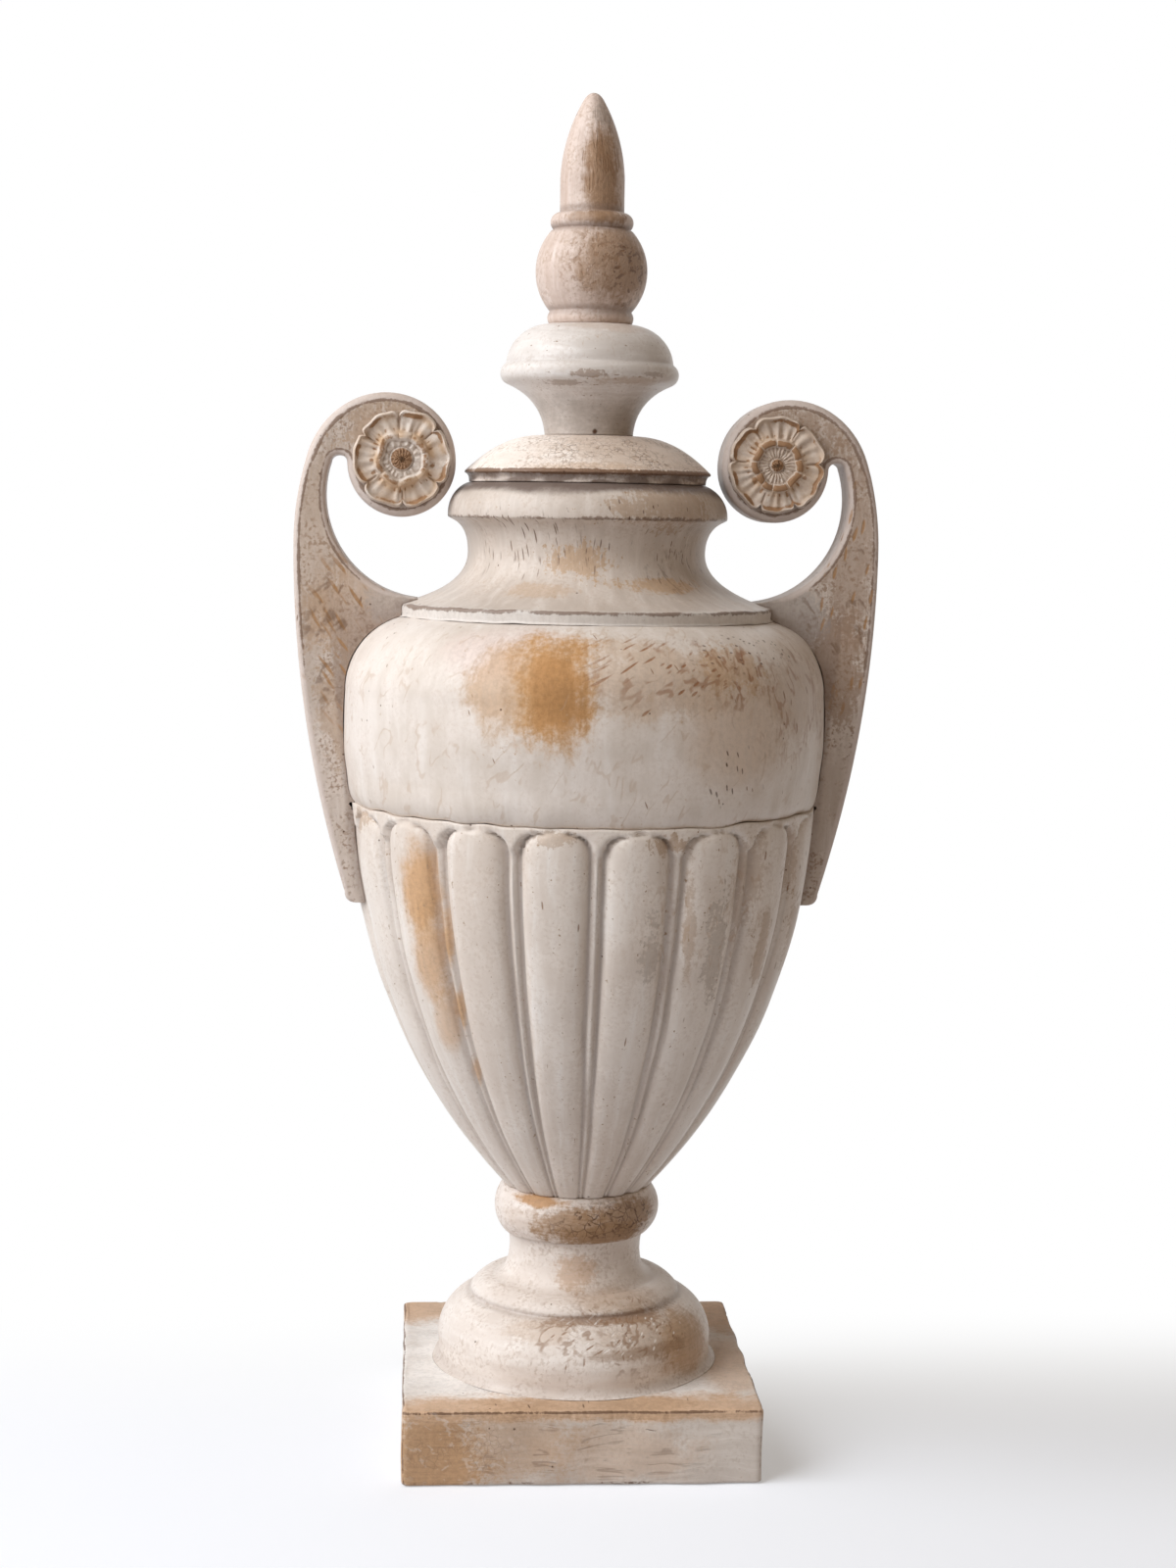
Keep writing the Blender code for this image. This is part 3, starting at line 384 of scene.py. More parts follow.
def paintCoat(name, look):
    # distressed paint: clouds, strokes and stipple, then washes and dry-brushed patches, pale edges,
    # grime and painted shade in hollows, rubbed arrises, and last dashes, scratches, crackle and specks
    look = {**coatDefaults, **look}
    shade = {tone: hue(*colour) for tone, colour in {**coatColours, **look["colours"]}.items()}
    paint = bpy.data.materials.new(name)
    bench = Bench(paint)
    spot = bench.add("ShaderNodeTexCoord", {}, {}, "Object")
    sway = bench.cells(spot, look["swaySize"])
    sway = bench.add("ShaderNodeTexNoise", {}, {"Vector": sway, "Scale": 1.0, "Detail": 1.0}, "Color")
    sway = bench.add("ShaderNodeVectorMath", {"operation": "SUBTRACT"}, {0: sway, 1: (0.5, 0.5, 0.5)})
    sway = bench.add("ShaderNodeVectorMath", {"operation": "SCALE"}, {0: sway, "Scale": look["sway"] * mm})
    hand = bench.add("ShaderNodeVectorMath", {"operation": "ADD"}, {0: bench.mark("lay", "Vector"), 1: sway})
    stroke = look["stroke"]

    broad = bench.noise(spot, 60, 2, 0.5)
    mottle = bench.noise(spot, 12, 4, 0.62, move=(40, 10, 70))
    grit = bench.noise(spot, 2.0, 4, 0.7, move=(15, 60, 20))
    tooth = bench.noise(spot, 1.7, 2, 0.5, move=(8, 3, 5))
    strokes = bench.noise(hand, stroke, 3, 0.55)
    fine = tuple(v * (0.3 if v < 12 else 0.8) for v in stroke)
    bristles = bench.noise(hand, fine, 3, 0.6, move=(30, 20, 10))
    dry = bristles * 0.3 + grit * 0.45 + tooth * 0.25         # the tooth that a dry brush catches on
    mottleSwing, gritSwing = mottle - 0.5, grit - 0.5         # either side of the noise's middle value

    def within(marks, where):                                 # keeps marks to an area, where one is given
        return marks * bench.area(spot, *where, mottleSwing * 0.8) if where else marks

    clouds = bench.ease(broad * 0.45 + mottle * 0.3 + strokes * 0.25, 0.38, 0.6)
    colour = bench.tint(clouds, shade["greige"], shade["cream"])
    chalk = bench.ease(strokes * 0.55 + bristles * 0.45, 0.5, 0.74) * look["chalkShare"]
    colour = bench.tint(chalk, colour, shade["chalk"])
    stain = bench.ease(grit * 0.7 + mottle * 0.3, 0.5, 0.66) * look["pitShare"]
    colour = bench.tint(stain, colour, shade["stain"])
    pits = (1 - bench.ease(tooth, 0.36, 0.52)) * bench.ease(mottle, 0.38, 0.6) * look["stipple"]
    colour = bench.tint(pits, colour, shade["pit"])
    height = strokes * 0.3 + bristles * 0.2 + grit * 0.3 + tooth * look["stipple"]
    rough = look["gloss"] + mottleSwing * 0.3 + (bristles - 0.5) * 0.15

    for place, size, tone, share, ragged, *block in look["patches"]:
        inside = bench.area(spot, place, size, mottleSwing * (0.4 + ragged * 0.9), 0.15, *block)
        cover = inside + (dry - 0.5) * (ragged * 4.2)
        cover = bench.ease(cover, 0.05 + ragged * 0.35, 0.95 - ragged * 0.25) * share
        darker = tuple(v * 0.82 for v in shade[tone][:3]) + (1,)
        deep = bench.tint(bench.ease(bristles * 0.4 + grit * 0.6, 0.4, 0.62), shade[tone], darker)
        colour = bench.tint(cover, colour, deep)
        height = height + cover * gritSwing * 0.4
        rough = rough + cover * 0.08

    colour = bench.tint(bench.mark("pale") * (0.35 + mottle * 0.9), colour, shade["pale"])
    # grime and painted shade: darker in hollows, creases, joints and under edges, where shade falls
    grimeAndShade = bench.mark("grimeAndShade") * (0.4 + mottle * 1.1)
    grimeAndShade = bench.ease(grimeAndShade + gritSwing * 0.25, 0.12, 0.9) * look["grimeAndShadeShare"]
    colour = bench.tint(grimeAndShade, colour, shade["grimeAndShade"])
    rub = bench.mark("rub") + mottleSwing * 1.3 + gritSwing
    rub = bench.ease(rub, 0.62, 0.9) * look["rubShare"]
    colour = bench.tint(rub, colour, shade["rub"])

    for size, radius, share, lean, where, tone in look["dashes"]:
        marks = bench.spots(hand, size, radius, share, (0, lean, 0), (size[0] * 3, lean, size[2]))
        marks = within(marks, where)
        colour = bench.tint(marks * (0.3 + grit), colour, shade[tone])
        height = height - marks * 0.5
    for size, width, share, lean, where, tone in look["scratches"]:
        lines = bench.squiggles(hand, size, width, (0, lean, 0), (size[2], lean, size[0] * 5)) * share
        lines = within(lines, where)
        colour = bench.tint(lines, colour, shade[tone])
        height = height - lines * 0.5
    for size, width, share, where in look["crackle"]:
        net = within(bench.cracks(spot, size, width) * bench.ease(mottle, 0.42, 0.6) * share, where)
        colour = bench.tint(net, colour, shade["umber"])
        height = height - net * 0.45
    specks = bench.spots(spot, 5.5, 0.11, look["specks"], move=(3, 7, 1))
    colour = bench.tint(specks * 0.8, colour, shade["umber"])
    height = height - specks * 0.4

    bump = {"Strength": look["bump"], "Distance": look["bumpDepth"] * mm, "Height": height}
    bump = bench.add("ShaderNodeBump", {}, bump, "Normal")
    skin = {"Base Color": colour, "Roughness": rough, "Normal": bump, "Specular IOR Level": look["shine"]}
    skin = bench.add("ShaderNodeBsdfPrincipled", {}, skin)
    bench.add("ShaderNodeOutputMaterial", {}, {"Surface": skin})
    return paint


# plinth

plinthLook = {
    "arris": 1.5, "corner": 2.2, "chip": 0.3, "cols": 640, "uneven": 0.2, "topWave": 0.15,
    "socketMouth": 3, "hub": 4,
    "paint": {
        "stroke": (30, 30, 3), "rubShare": 0.85, "specks": 0.14, "gloss": 0.5, "pitShare": 0.15,
        "stipple": 0.2,
        "patches": [
            # painted light: the whole top made paler, as where the light falls on it
            ((-12, -4, 33), (130, 130, 8), "chalk", 0.95, 0.1, 4),
            ((-66, -78, 12), (44, 16, 34), "gold", 0.95, 0.5),
            ((-34, -78, 18), (56, 14, 28), "gold", 0.5, 0.5),
            ((16, -78, 15), (56, 14, 22), "tan", 0.4, 0.4),
            ((-50, -78, 33), (66, 34, 8), "tan", 0.9, 0.3, 3),
            ((46, -78, 33), (70, 36, 8), "tan", 0.9, 0.3, 3),
            # painted shadow of the foot on the right of the top
            ((70, -20, 33), (26, 66, 8), "tan", 0.6, 0.3),
            # the next two: painted shade on the top in front of the foot, over the paint's tan
            ((4, -74, 33), (80, 26, 8), "tan", 0.9, 0.35, 3),
            ((6, -68, 33), (76, 18, 8), "stain", 0.35, 0.3, 3),
            ((-72, 66, 33), (30, 36, 8), "tan", 0.85, 0.35),
            ((74, 56, 33), (26, 48, 8), "tan", 0.85, 0.35),
            ((78, 20, 16), (10, 54, 22), "stain", 0.6, 0.7),
            ((-78, 10, 14), (10, 44, 20), "gold", 0.6, 0.8),
            ((10, 78, 16), (56, 10, 20), "stain", 0.6, 0.7)],
        "dashes": [
            ((14, 14, 1.4), 0.2, 0.03, 0, None, "rub"),
            ((2.4, 14, 14), 0.22, 0.3, 0, ((0, -70, 33), (90, 16, 5)), "rub")],
        "scratches": [
            ((30, 30, 3), 0.05, 0.35, 0, ((0, -78, 16), (80, 12, 20)), "rub"),
            ((9, 9, 5), 0.05, 0.2, 25, ((-54, -78, 16), (36, 14, 24)), "chalk")],
        "crackle": [
            (3.0, 0.07, 0.25, ((-52, -78, 14), (40, 20, 26)))],
        "colours": {
            "gold": (194, 155, 118), "tan": (206, 170, 138), "rub": (100, 74, 56), "chalk": (244, 238, 233)},
    },
}
plinthPaint = paintCoat("plinthPaint", plinthLook["paint"])


def makePlinth(look):
    # squared rings carried up a section: underside, lower arris, side, upper arris, top,
    # then round rings down the socket
    low, high = corners("plinth")
    half, tall, arris, cols = (high[0] - low[0]) / 2, high[2] - low[2], look["arris"], look["cols"]
    bend = np.linspace(0, math.pi / 2, 7)
    under, sides, top = 5, 22, 25              # rings on the underside, the sides and the top
    inset = np.concatenate([[half - look["hub"]], np.linspace(half * 0.8, arris, under + 1)[:-1],
                            arris * (1 - np.sin(bend)), np.zeros(sides), arris * (1 - np.cos(bend)),
                            np.linspace(arris, half * 0.25, top + 1)[1:]])
    level = np.concatenate([np.zeros(under + 1), arris * (1 - np.cos(bend)),
                            np.linspace(arris, tall - arris, sides + 2)[1:-1],
                            tall - arris * (1 - np.sin(bend)), np.full(top, tall)])
    angle = np.linspace(0, 2 * math.pi, cols, endpoint=False)
    ring = np.column_stack([np.sin(angle), -np.cos(angle)])
    square = ring / np.abs(ring).max(1, keepdims=True)

    # each ring is a square with rounded corners: what stands past a corner's centre is pulled to its radius
    size = (half - inset)[:, None, None]
    corner = np.minimum(look["corner"], size * 0.5)
    flat = size * square
    core = np.clip(flat, -(size - corner), size - corner)
    push = flat - core
    length = np.maximum(np.linalg.norm(push, axis=-1, keepdims=True), 1e-9)
    flat = core + push / length * np.minimum(length, corner)

    # chips along both arrises, and a slow wave on the sides and the top
    onArris = bell(inset - 0.3, 1.4)[:, None]
    edge = onArris * (level > 2)[:, None] * (np.abs(level - tall) < 4)[:, None]
    foot = onArris * (level < 4)[:, None]
    chips = np.clip(ripple(angle, 0, 4, 170, 50, 60) - 0.5, 0, 2) * 0.55
    chips = chips + np.clip(ripple(angle, 0, 5, 40, 50, 30) - 1, 0, 2) * 0.5
    inward = -flat / np.abs(flat).max(-1, keepdims=True)
    wave = ripple(angle[None, :], level[:, None], 6, 24, 60) * look["uneven"] * (inset < 6)[:, None]
    flat = flat + inward * ((edge + 0.6 * foot) * chips[None, :] * look["chip"] + wave)[..., None]
    z = level[:, None] - edge * chips[None, :] * look["chip"] * 0.6 + 0 * angle[None, :]
    onTop = ((level > tall - 0.1) & (inset > 2))[:, None]
    z = z + ripple(angle[None, :], inset[:, None], 8, 14, 40) * look["topWave"] * onTop

    bore = centreBore * ring[None]
    depths = (tall, tall - look["socketMouth"], tall - centreDepth)
    rings = [np.concatenate([flat, z[..., None]], -1)]
    rings += [np.concatenate([bore, np.full((1, cols, 1), depth)], -1) for depth in depths]
    rings = np.concatenate(rings)
    rings[..., 2] += low[2]
    points = np.concatenate([[[0, 0, low[2]]], rings.reshape(-1, 3), [[0, 0, low[2] + depths[-1]]]])
    faces = [ringFaces(len(rings), cols, False) + 1] + capFaces(cols, len(points) - 1)

    rub = 0.95 * bell(inset - 0.3, 0.8) * (level > tall - arris) + 0.6 * bell(inset, 1.2) * (level < arris)
    upright = (np.abs(square).min(1) > 0.985)[None, :] * (inset < 1)[:, None] * 0.85
    rub = np.maximum(rub[:, None] + 0 * angle, upright)
    rub = np.concatenate([[0], rub.ravel(), np.zeros(len(depths) * cols), [0]])
    makePiece("plinth", points, faces, {"lay": points * mm, "rub": rub},
              "urn", plinthPaint)


makePlinth(plinthLook)


# foot, collar, bowl, drum and neck: points of an outline are radius and level, h is the piece's height
# and w its half width, all in mm; the outside runs down and the inside back up

footLook = {
    "step": 0.55, "arris": 0.5, "cols": 256, "uneven": 0.22, "seed": 11,
    "outside": lambda h, w: [
        ("at", 31.2, h), ("bend", w - 32.4, h - 4.25, w - 32.4, h - 8.5),
        ("bend", w - 32.4, 39.2, 36.5, 37.5), ("arc", 47.4, 32.1, 1.7), ("to", 47.1, 30.5),
        ("arc", w, 12, 3.6), ("to", w - 0.5, 4), ("bend", w - 0.3, 0.5, w + 2.8, -0.22)],
    "inside": lambda h, w: [("to", centreBore, 0), ("to", centreBore, h)],
    "paint": {
        "stroke": (22, 22, 3), "specks": 0.12, "rubShare": 0.4, "grimeAndShadeShare": 0.3, "pitShare": 0.2,
        "stipple": 0.35, "gloss": 0.4,
        "patches": [
            ((0, -32, 82), (18, 16, 14), "ochre", 0.45, 0.7),
            ((24, -42, 71), (46, 30, 12), "stain", 0.6, 0.3),
            ((36, -45, 56), (54, 40, 20), "stain", 0.5, 0.3),
            ((-30, 44, 58), (50, 30, 18), "stain", 0.7, 0.5),
            ((48, -36, 50), (30, 32, 24), "tan", 0.75, 0.35),
            ((-20, -52, 60), (30, 20, 9), "tan", 0.3, 0.5),
            ((20, -48, 63.5), (54, 26, 3.4), "brown", 0.75, 0.45, 3),
            ((26, -54, 51), (44, 28, 4), "brown", 0.5, 0.45, 3)],
        "dashes": [
            ((2.2, 2.2, 16), 0.32, 0.45, -55, ((20, -52, 57), (46, 38, 13)), "cream"),
            ((2.4, 2.4, 12), 0.28, 0.55, 0, ((14, -60, 45), (50, 30, 8)), "rub"),
            ((2.4, 2.4, 13), 0.28, 0.55, -55, ((18, -54, 58), (46, 34, 10)), "rub"),
            ((2.2, 2.2, 10), 0.22, 0.3, 60, ((24, -50, 68), (40, 34, 9)), "rub")],
        "scratches": [
            ((7, 7, 18), 0.05, 0.6, -62, ((18, -52, 58), (54, 40, 20)), "rub"),
            ((7, 7, 18), 0.05, 0.4, 58, ((10, -52, 60), (50, 40, 16)), "rub")],
        "crackle": [
            (2.8, 0.06, 0.25, ((16, -46, 60), (44, 40, 12)))],
        "colours": {
            "tan": (182, 146, 110), "brown": (146, 111, 80), "cream": (232, 222, 214),
            "greige": (216, 203, 193)},
    },
}
footPaint = paintCoat("footPaint", footLook["paint"])
turnPiece("foot", "urn", footLook, footPaint)

collarLook = {
    "step": 0.5, "arris": 0.45, "cols": 224, "uneven": 0.25, "seed": 12,
    "outside": lambda h, w: [("at", w - 3.9, h), ("arc", w - 3.9, 0, 3.9)],
    "inside": lambda h, w: [("to", centreBore, 0), ("to", centreBore, h)],
    "paint": {
        "stroke": (14, 14, 3), "specks": 0.12, "rubShare": 0.6, "pitShare": 0.35, "stipple": 0.5,
        "patches": [
            ((12, -33, 98), (46, 26, 11), "stain", 0.95, 0.5),
            ((-2, -34, 103), (30, 20, 12), "stain", 0.85, 0.4),
            ((22, -31, 106), (40, 26, 13), "stain", 0.85, 0.5),
            ((-20, -30, 112.5), (24, 18, 4.5), "ochre", 0.9, 0.4),
            ((-26, -26, 103), (22, 18, 9), "tan", 0.2, 0.8),
            ((0, 34, 102), (40, 18, 10), "stain", 0.8, 0.8)],
        "scratches": [
            ((5, 5, 6), 0.06, 0.8, 30, ((16, -32, 104), (36, 24, 11)), "umber")],
        "crackle": [
            (4.4, 0.06, 0.7, ((12, -32, 104), (40, 24, 12)))],
        "colours": {
            "stain": (160, 126, 94), "tan": (190, 156, 124), "cream": (228, 217, 209),
            "greige": (212, 198, 188)},
    },
}
collarPaint = paintCoat("collarPaint", collarLook["paint"])
turnPiece("foot_collar", "urn", collarLook, collarPaint)

bowlLook = {
    "step": 1.1, "arris": 0.4, "cols": 432, "uneven": 0.15, "seed": 13,
    "lobes": 18, "depth": 5.6, "share": 0.77, "fullness": 2.4, "end": 12, "stop": 1.8, "dart": 0.6,
    "dartWidth": 0.08, "field": 0.8, "valley": 1.7, "crown": 0.62, "wander": 0.007, "widthSpread": 0.02,
    "topSpread": 0.8,
    "outside": lambda h, w: [("at", w, h), ("arc", 33.4, 0, 17)],
    "inside": lambda h, w: [
        ("to", centreBore, 0), ("to", centreBore, centreDepth), ("to", centreBore, 32.6), ("to", 36, 32.6),
        ("arc", w - 16.5, h - 8.6, -11), ("to", w - 11.7, h - 8.6), ("to", w - 11.7, h)],
    "paint": {
        "stroke": (7, 7, 60), "specks": 0.08, "rubShare": 0.3, "grimeAndShadeShare": 0.34, "chalkShare": 0.5,
        "pitShare": 0.2, "stipple": 0.15, "gloss": 0.36, "bump": 0.34,
        "patches": [
            ((-71, -68, 258), (17, 19, 40), "gold", 0.9, 0.2),
            ((-67, -65, 232), (15, 17, 44), "gold", 0.75, 0.2),
            ((-60, -60, 204), (11, 13, 40), "gold", 0.5, 0.25),
            ((-60.4, -72, 243), (5, 6.5, 30), "gold", 0.85, 0.25),
            ((-54.5, -65, 212), (5, 6.5, 30), "gold", 0.85, 0.25),
            ((-47, -56, 183), (4.5, 6, 26), "gold", 0.7, 0.25),
            ((24, -96, 226), (8, 12, 46), "slate", 0.5, 0.9),
            ((52, -82, 232), (9, 14, 50), "slate", 0.55, 0.9),
            ((40, -90, 236), (5, 10, 60), "stain", 0.5, 0.7),
            ((74, -62, 236), (6, 12, 56), "stain", 0.6, 0.7),
            ((60, -76, 200), (6, 12, 50), "stain", 0.5, 0.7),
            ((90, -34, 240), (8, 14, 60), "stain", 0.6, 0.7),
            ((30, -100, 281), (16, 14, 7), "stain", 0.7, 1.0),
            ((-98, -30, 283), (24, 20, 7), "stain", 0.6, 1.0),
            ((-20, -102, 284), (14, 14, 6), "stain", 0.5, 1.0),
            ((64, -74, 262), (18, 18, 40), "stain", 0.35, 1.0),
            ((84, -50, 270), (14, 18, 30), "stain", 0.45, 1.0),
            ((70, 66, 240), (18, 18, 46), "gold", 0.75, 0.5)],
        "dashes": [
            ((2.6, 2.6, 12), 0.2, 0.025, 0, None, "rub"),
            ((2.6, 2.6, 12), 0.24, 0.16, 6, ((76, -66, 250), (40, 60, 50)), "rub")],
        "scratches": [
            ((4, 4, 14), 0.05, 0.4, 10, ((50, -84, 250), (50, 50, 40)), "stain")],
        "colours": {
            "gold": (202, 158, 114), "slate": (176, 160, 146), "grimeAndShade": (150, 133, 125),
            "cream": (223, 212, 202), "greige": (207, 193, 181)},
    },
}
bowlPaint = paintCoat("bowlPaint", bowlLook["paint"])


def lobeDepth(theta, z):
    # depth below the turned outline, by the largest relief: a full lobe, (1 - (offset / share)^f)^(1 / f),
    # a dart in the channel, the raised field round the lobe tops or the crown above them
    look = bowlLook
    lobes, end, full = look["lobes"], look["end"], look["fullness"]
    base, height, reach = span("fluted_bowl")
    dice = np.random.default_rng(21)
    place = theta / (2 * math.pi) * lobes + look["wander"] * ripple(theta, z, 22, 12, 150)
    cell = np.floor(place).astype(int) % lobes
    offset = np.abs(place % 1 - 0.5) * 2
    wide = 1 + dice.normal(0, look["widthSpread"], lobes)[cell] + 0.005 * ripple(theta, z, 23, 24, 60)
    top = base + height - look["stop"] - np.abs(dice.normal(0, look["topSpread"], lobes))[cell]
    past = (z - top + end) / end               # 0 where a lobe starts to close, 1 at its top
    closing = np.clip(past, 0, 1) ** 3
    share = look["share"] * wide * np.maximum(1 - closing, 1e-6) ** (1 / 3)
    lobe = np.maximum(1 - (offset / share) ** full, 0) ** (1 / full) * (1 - 0.12 * closing)
    dart = look["dart"] * np.exp(-((1 - offset) / look["dartWidth"]) ** 2 / 1.2)
    dart = dart * (0.9 + 0.12 * ripple(theta, z, 24, 40, 60))
    aside = np.maximum((offset - share) * math.pi * reach / lobes, (past - 1) * end * (past > 1))
    field = look["field"] * easeStep(aside, look["valley"] * 0.6, look["valley"] * 1.7)
    field = field * easeStep(past, 0, 0.5)
    crown = look["crown"] * easeStep(past, 0.8, 1.1)
    relief = np.maximum(np.maximum(lobe, crown), np.maximum(dart, field))
    return look["depth"] * (1 - relief), relief, dart


def lipWander(theta):
    # the joint of bowl and drum goes up and down, as filled by hand: a ripple and one wave for each lobe
    return ripple(theta, 0, 31, 40, 60, 40) * 0.35 + np.cos(bowlLook["lobes"] * theta + 0.4) * 0.25


def carveBowl(theta, z, r, rr, zz, rub, grimeAndShade, onOutside):
    # the lobes and darts are cut in from the turned outline; channels and the tops of the lobes,
    # under the drum's lip, hold grime and painted shade
    base, height, reach = span("fluted_bowl")
    depth, relief, dart = lobeDepth(theta, z)
    sunk = np.where(onOutside, depth * np.clip(r / reach, 0.3, 1), 0)
    channel = np.where(onOutside, np.clip((0.6 - relief) / 0.6, 0, 1) ** 0.8, 0)
    top = np.where(onOutside, easeStep(z, base + height - 4, base + height - 1), 0)
    zz, top = zz + top * lipWander(theta), top * 0.3
    return rr - sunk, zz, np.where(onOutside, dart * 0.3, 0), np.clip(channel + top, 0, 1)


turnPiece("fluted_bowl", "urn", bowlLook, bowlPaint, carveBowl)

drumLook = {
    "step": 0.7, "arris": 0.5, "cols": 320, "uneven": 0.25, "seed": 14, "tongue": 8,
    "outside": lambda h, w: [("at", 82.4, h), ("arc", w, h - 33, 7.2), ("arc", w - 1, 22, 1.0),
                             ("bend", w - 1.6, 11, w - 4.8, 8)],
    "inside": lambda h, w: [("to", w - 13.6, 8), ("to", w - 13.6, 0), ("to", w - 18.1, 0), ("to", w - 14, 16),
                            ("to", w - 14, h - 35), ("bend", w - 14, h - 13, w - 36, h - 13),
                            ("to", 50.3, h - 13), ("to", 50.3, h)],
    "paint": {
        "stroke": (9, 9, 46), "specks": 0.12, "rubShare": 0.2, "grimeAndShadeShare": 0.3, "chalkShare": 0.35,
        "gloss": 0.38, "bump": 0.28, "pitShare": 0.12, "stipple": 0.1,
        "patches": [
            ((-42, -94, 360), (56, 40, 20), "blush", 0.6, 0.25),
            ((24, -102, 350), (72, 42, 28), "halo", 0.7, 0.5),
            ((58, -86, 330), (46, 46, 44), "halo", 0.6, 0.15),
            ((-33, -99, 346), (40, 36, 36), "ochre", 0.65, 0.35),
            ((-19, -104, 345), (28, 34, 40), "gold", 0.9, 0.35, 3),
            ((-18, -104, 344), (20, 30, 28), "core", 0.75, 0.25, 3),
            ((-17, -104, 341), (17, 30, 14), "umber", 0.1, 0.05, 6),
            ((58, -86, 354), (24, 24, 17), "ochre", 0.45, 1.0),
            ((84, -56, 340), (36, 54, 34), "stain", 0.4, 0.5),
            ((20, 102, 340), (44, 30, 28), "gold", 0.8, 0.6, 3),
            ((-60, 84, 346), (48, 40, 24), "halo", 0.7, 0.6)],
        "dashes": [
            ((2.4, 2.4, 11), 0.28, 0.8, 76, ((66, -80, 360), (44, 50, 11)), "umber"),
            ((2.6, 2.6, 15), 0.25, 0.4, 14, ((86, -62, 344), (32, 58, 28)), "rub"),
            ((2.5, 2.5, 30), 0.3, 0.75, -58, ((25, -100, 351), (43, 38, 22)), "ruddy"),
            ((2.8, 2.8, 18), 0.25, 0.5, -8, ((62, -84, 346), (16, 22, 20)), "ruddy"),
            ((2.2, 2.2, 8), 0.25, 0.36, 20, ((56, -90, 308), (22, 34, 26)), "umber"),
            ((2.2, 2.2, 14), 0.2, 0.05, 20, None, "rub")],
        "scratches": [
            ((6, 6, 22), 0.08, 0.6, -58, ((30, -96, 352), (50, 50, 18)), "ruddy"),
            ((6, 6, 16), 0.08, 0.75, 10, ((62, -84, 350), (24, 34, 18)), "ruddy"),
            ((5, 5, 22), 0.06, 0.55, 14, ((88, -58, 338), (34, 60, 34)), "ruddy"),
            ((10, 10, 24), 0.03, 0.3, -30, None, "stain")],
        "colours": {
            "gold": (194, 148, 98), "core": (180, 130, 79), "ochre": (194, 154, 112),
            "halo": (202, 176, 152), "blush": (218, 196, 186), "ruddy": (142, 98, 66),
            "cream": (221, 210, 201), "greige": (203, 190, 178)},
    },
}
drumPaint = paintCoat("drumPaint", drumLook["paint"])


def carveDrum(theta, z, r, rr, zz, rub, grimeAndShade, onOutside):
    # the lower lip wanders up and down a little, as it was filled and painted by hand
    base = span("shoulder_drum")[0] + drumLook["tongue"]
    near = np.where(onOutside, 1 - easeStep(z, base, base + 14), 0)
    # the lower edge of the lip gets a little grime and painted shade
    edge = np.where(onOutside, 1 - easeStep(z, base + 0.5, base + 4), 0)
    rr = rr + near * ripple(theta, z, 32, 36, 30) * 0.25
    return rr, zz + near * lipWander(theta), rub, np.maximum(grimeAndShade, edge * 0.15)


turnPiece("shoulder_drum", "urn", drumLook, drumPaint, carveDrum)

neckLook = {
    "step": 0.5, "arris": 0.3, "cols": 288, "uneven": 0.2, "seed": 15,
    "outside": lambda h, w: [
        ("at", 53, h), ("arc", 62.3, h - 15.1, 3.0), ("to", 60.4, h - 16.1),
        ("bend", 52.8, h - 19.4, 52.8, h - 30.3), ("bend", 52.8, h - 45, w - 0.6, h - 53.6),
        ("bend", w, h - 53.8, w, h - 54.6), ("to", w - 0.2, h - 58.2),
        ("bend", w - 0.2, h - 58.9, w + 0.9, h - 59.05)],
    "inside": lambda h, w: [("to", 50, h - 58.8), ("to", 50, 0), ("to", 42, 0), ("to", 42, h)],
    "paint": {
        "stroke": (6, 6, 22), "specks": 0.12, "rubShare": 0.75, "grimeAndShadeShare": 0.85, "gloss": 0.38,
        "pitShare": 0.15, "stipple": 0.2,
        "patches": [
            ((-8, -53, 397), (22, 18, 14), "ochre", 0.6, 1.0),
            ((-24, -57, 384), (28, 18, 6), "ochre", 0.35, 0.7),
            ((34, -54, 387), (44, 28, 5.5), "ochre", 0.65, 0.7),
            ((34, -52, 419), (50, 36, 15), "stain", 0.6, 1.0),
            # painted light: a chalk band over the flange lifts its shade
            ((0, 0, 373.2), (300, 300, 5), "chalk", 0.5, 0.25, 4),
            ((10, 52, 394), (44, 16, 14), "stain", 0.5, 0.7)],
        "dashes": [
            ((2.1, 2.1, 12), 0.32, 0.8, 8, ((-32, -46, 404), (40, 32, 19)), "rub"),
            ((2.0, 2.0, 10), 0.28, 0.35, -10, ((24, -48, 400), (46, 30, 19)), "rub"),
            ((2.2, 2.2, 5), 0.27, 0.45, 10, ((14, -60, 418), (42, 40, 7)), "umber")],
        "scratches": [
            ((6, 6, 12), 0.05, 0.5, 15, ((44, -44, 394), (30, 30, 14)), "rub")],
        "colours": {
            "ochre": (190, 152, 112), "grimeAndShade": (86, 68, 60), "rub": (104, 78, 60), "cream": (203, 190, 179),
            "greige": (184, 170, 158)},
    },
}
neckPaint = paintCoat("neckPaint", neckLook["paint"])


def carveNeck(theta, z, r, rr, zz, rub, grimeAndShade, onOutside):
    # the rim under the lid's edge is darkened: painted shade from the lid, with dust and grime;
    # the flange's upper edge is uneven
    base, height, reach = span("neck")
    reachDown = 7 + 1.8 * ripple(theta, 0 * z, 36, 9, 60)
    top = np.where(onOutside, easeStep(z, base + height - reachDown, base + height - 0.8), 0)
    flange = np.where(onOutside, easeStep(r, reach - 5, reach - 1), 0)
    zz = zz + flange * ripple(theta, 0 * z, 34, 40, 60, 30) * 0.12
    return rr, zz, rub, np.maximum(grimeAndShade * (1 - flange), top)


turnPiece("neck", "urn", neckLook, neckPaint, carveNeck)


# lid, knob and finial

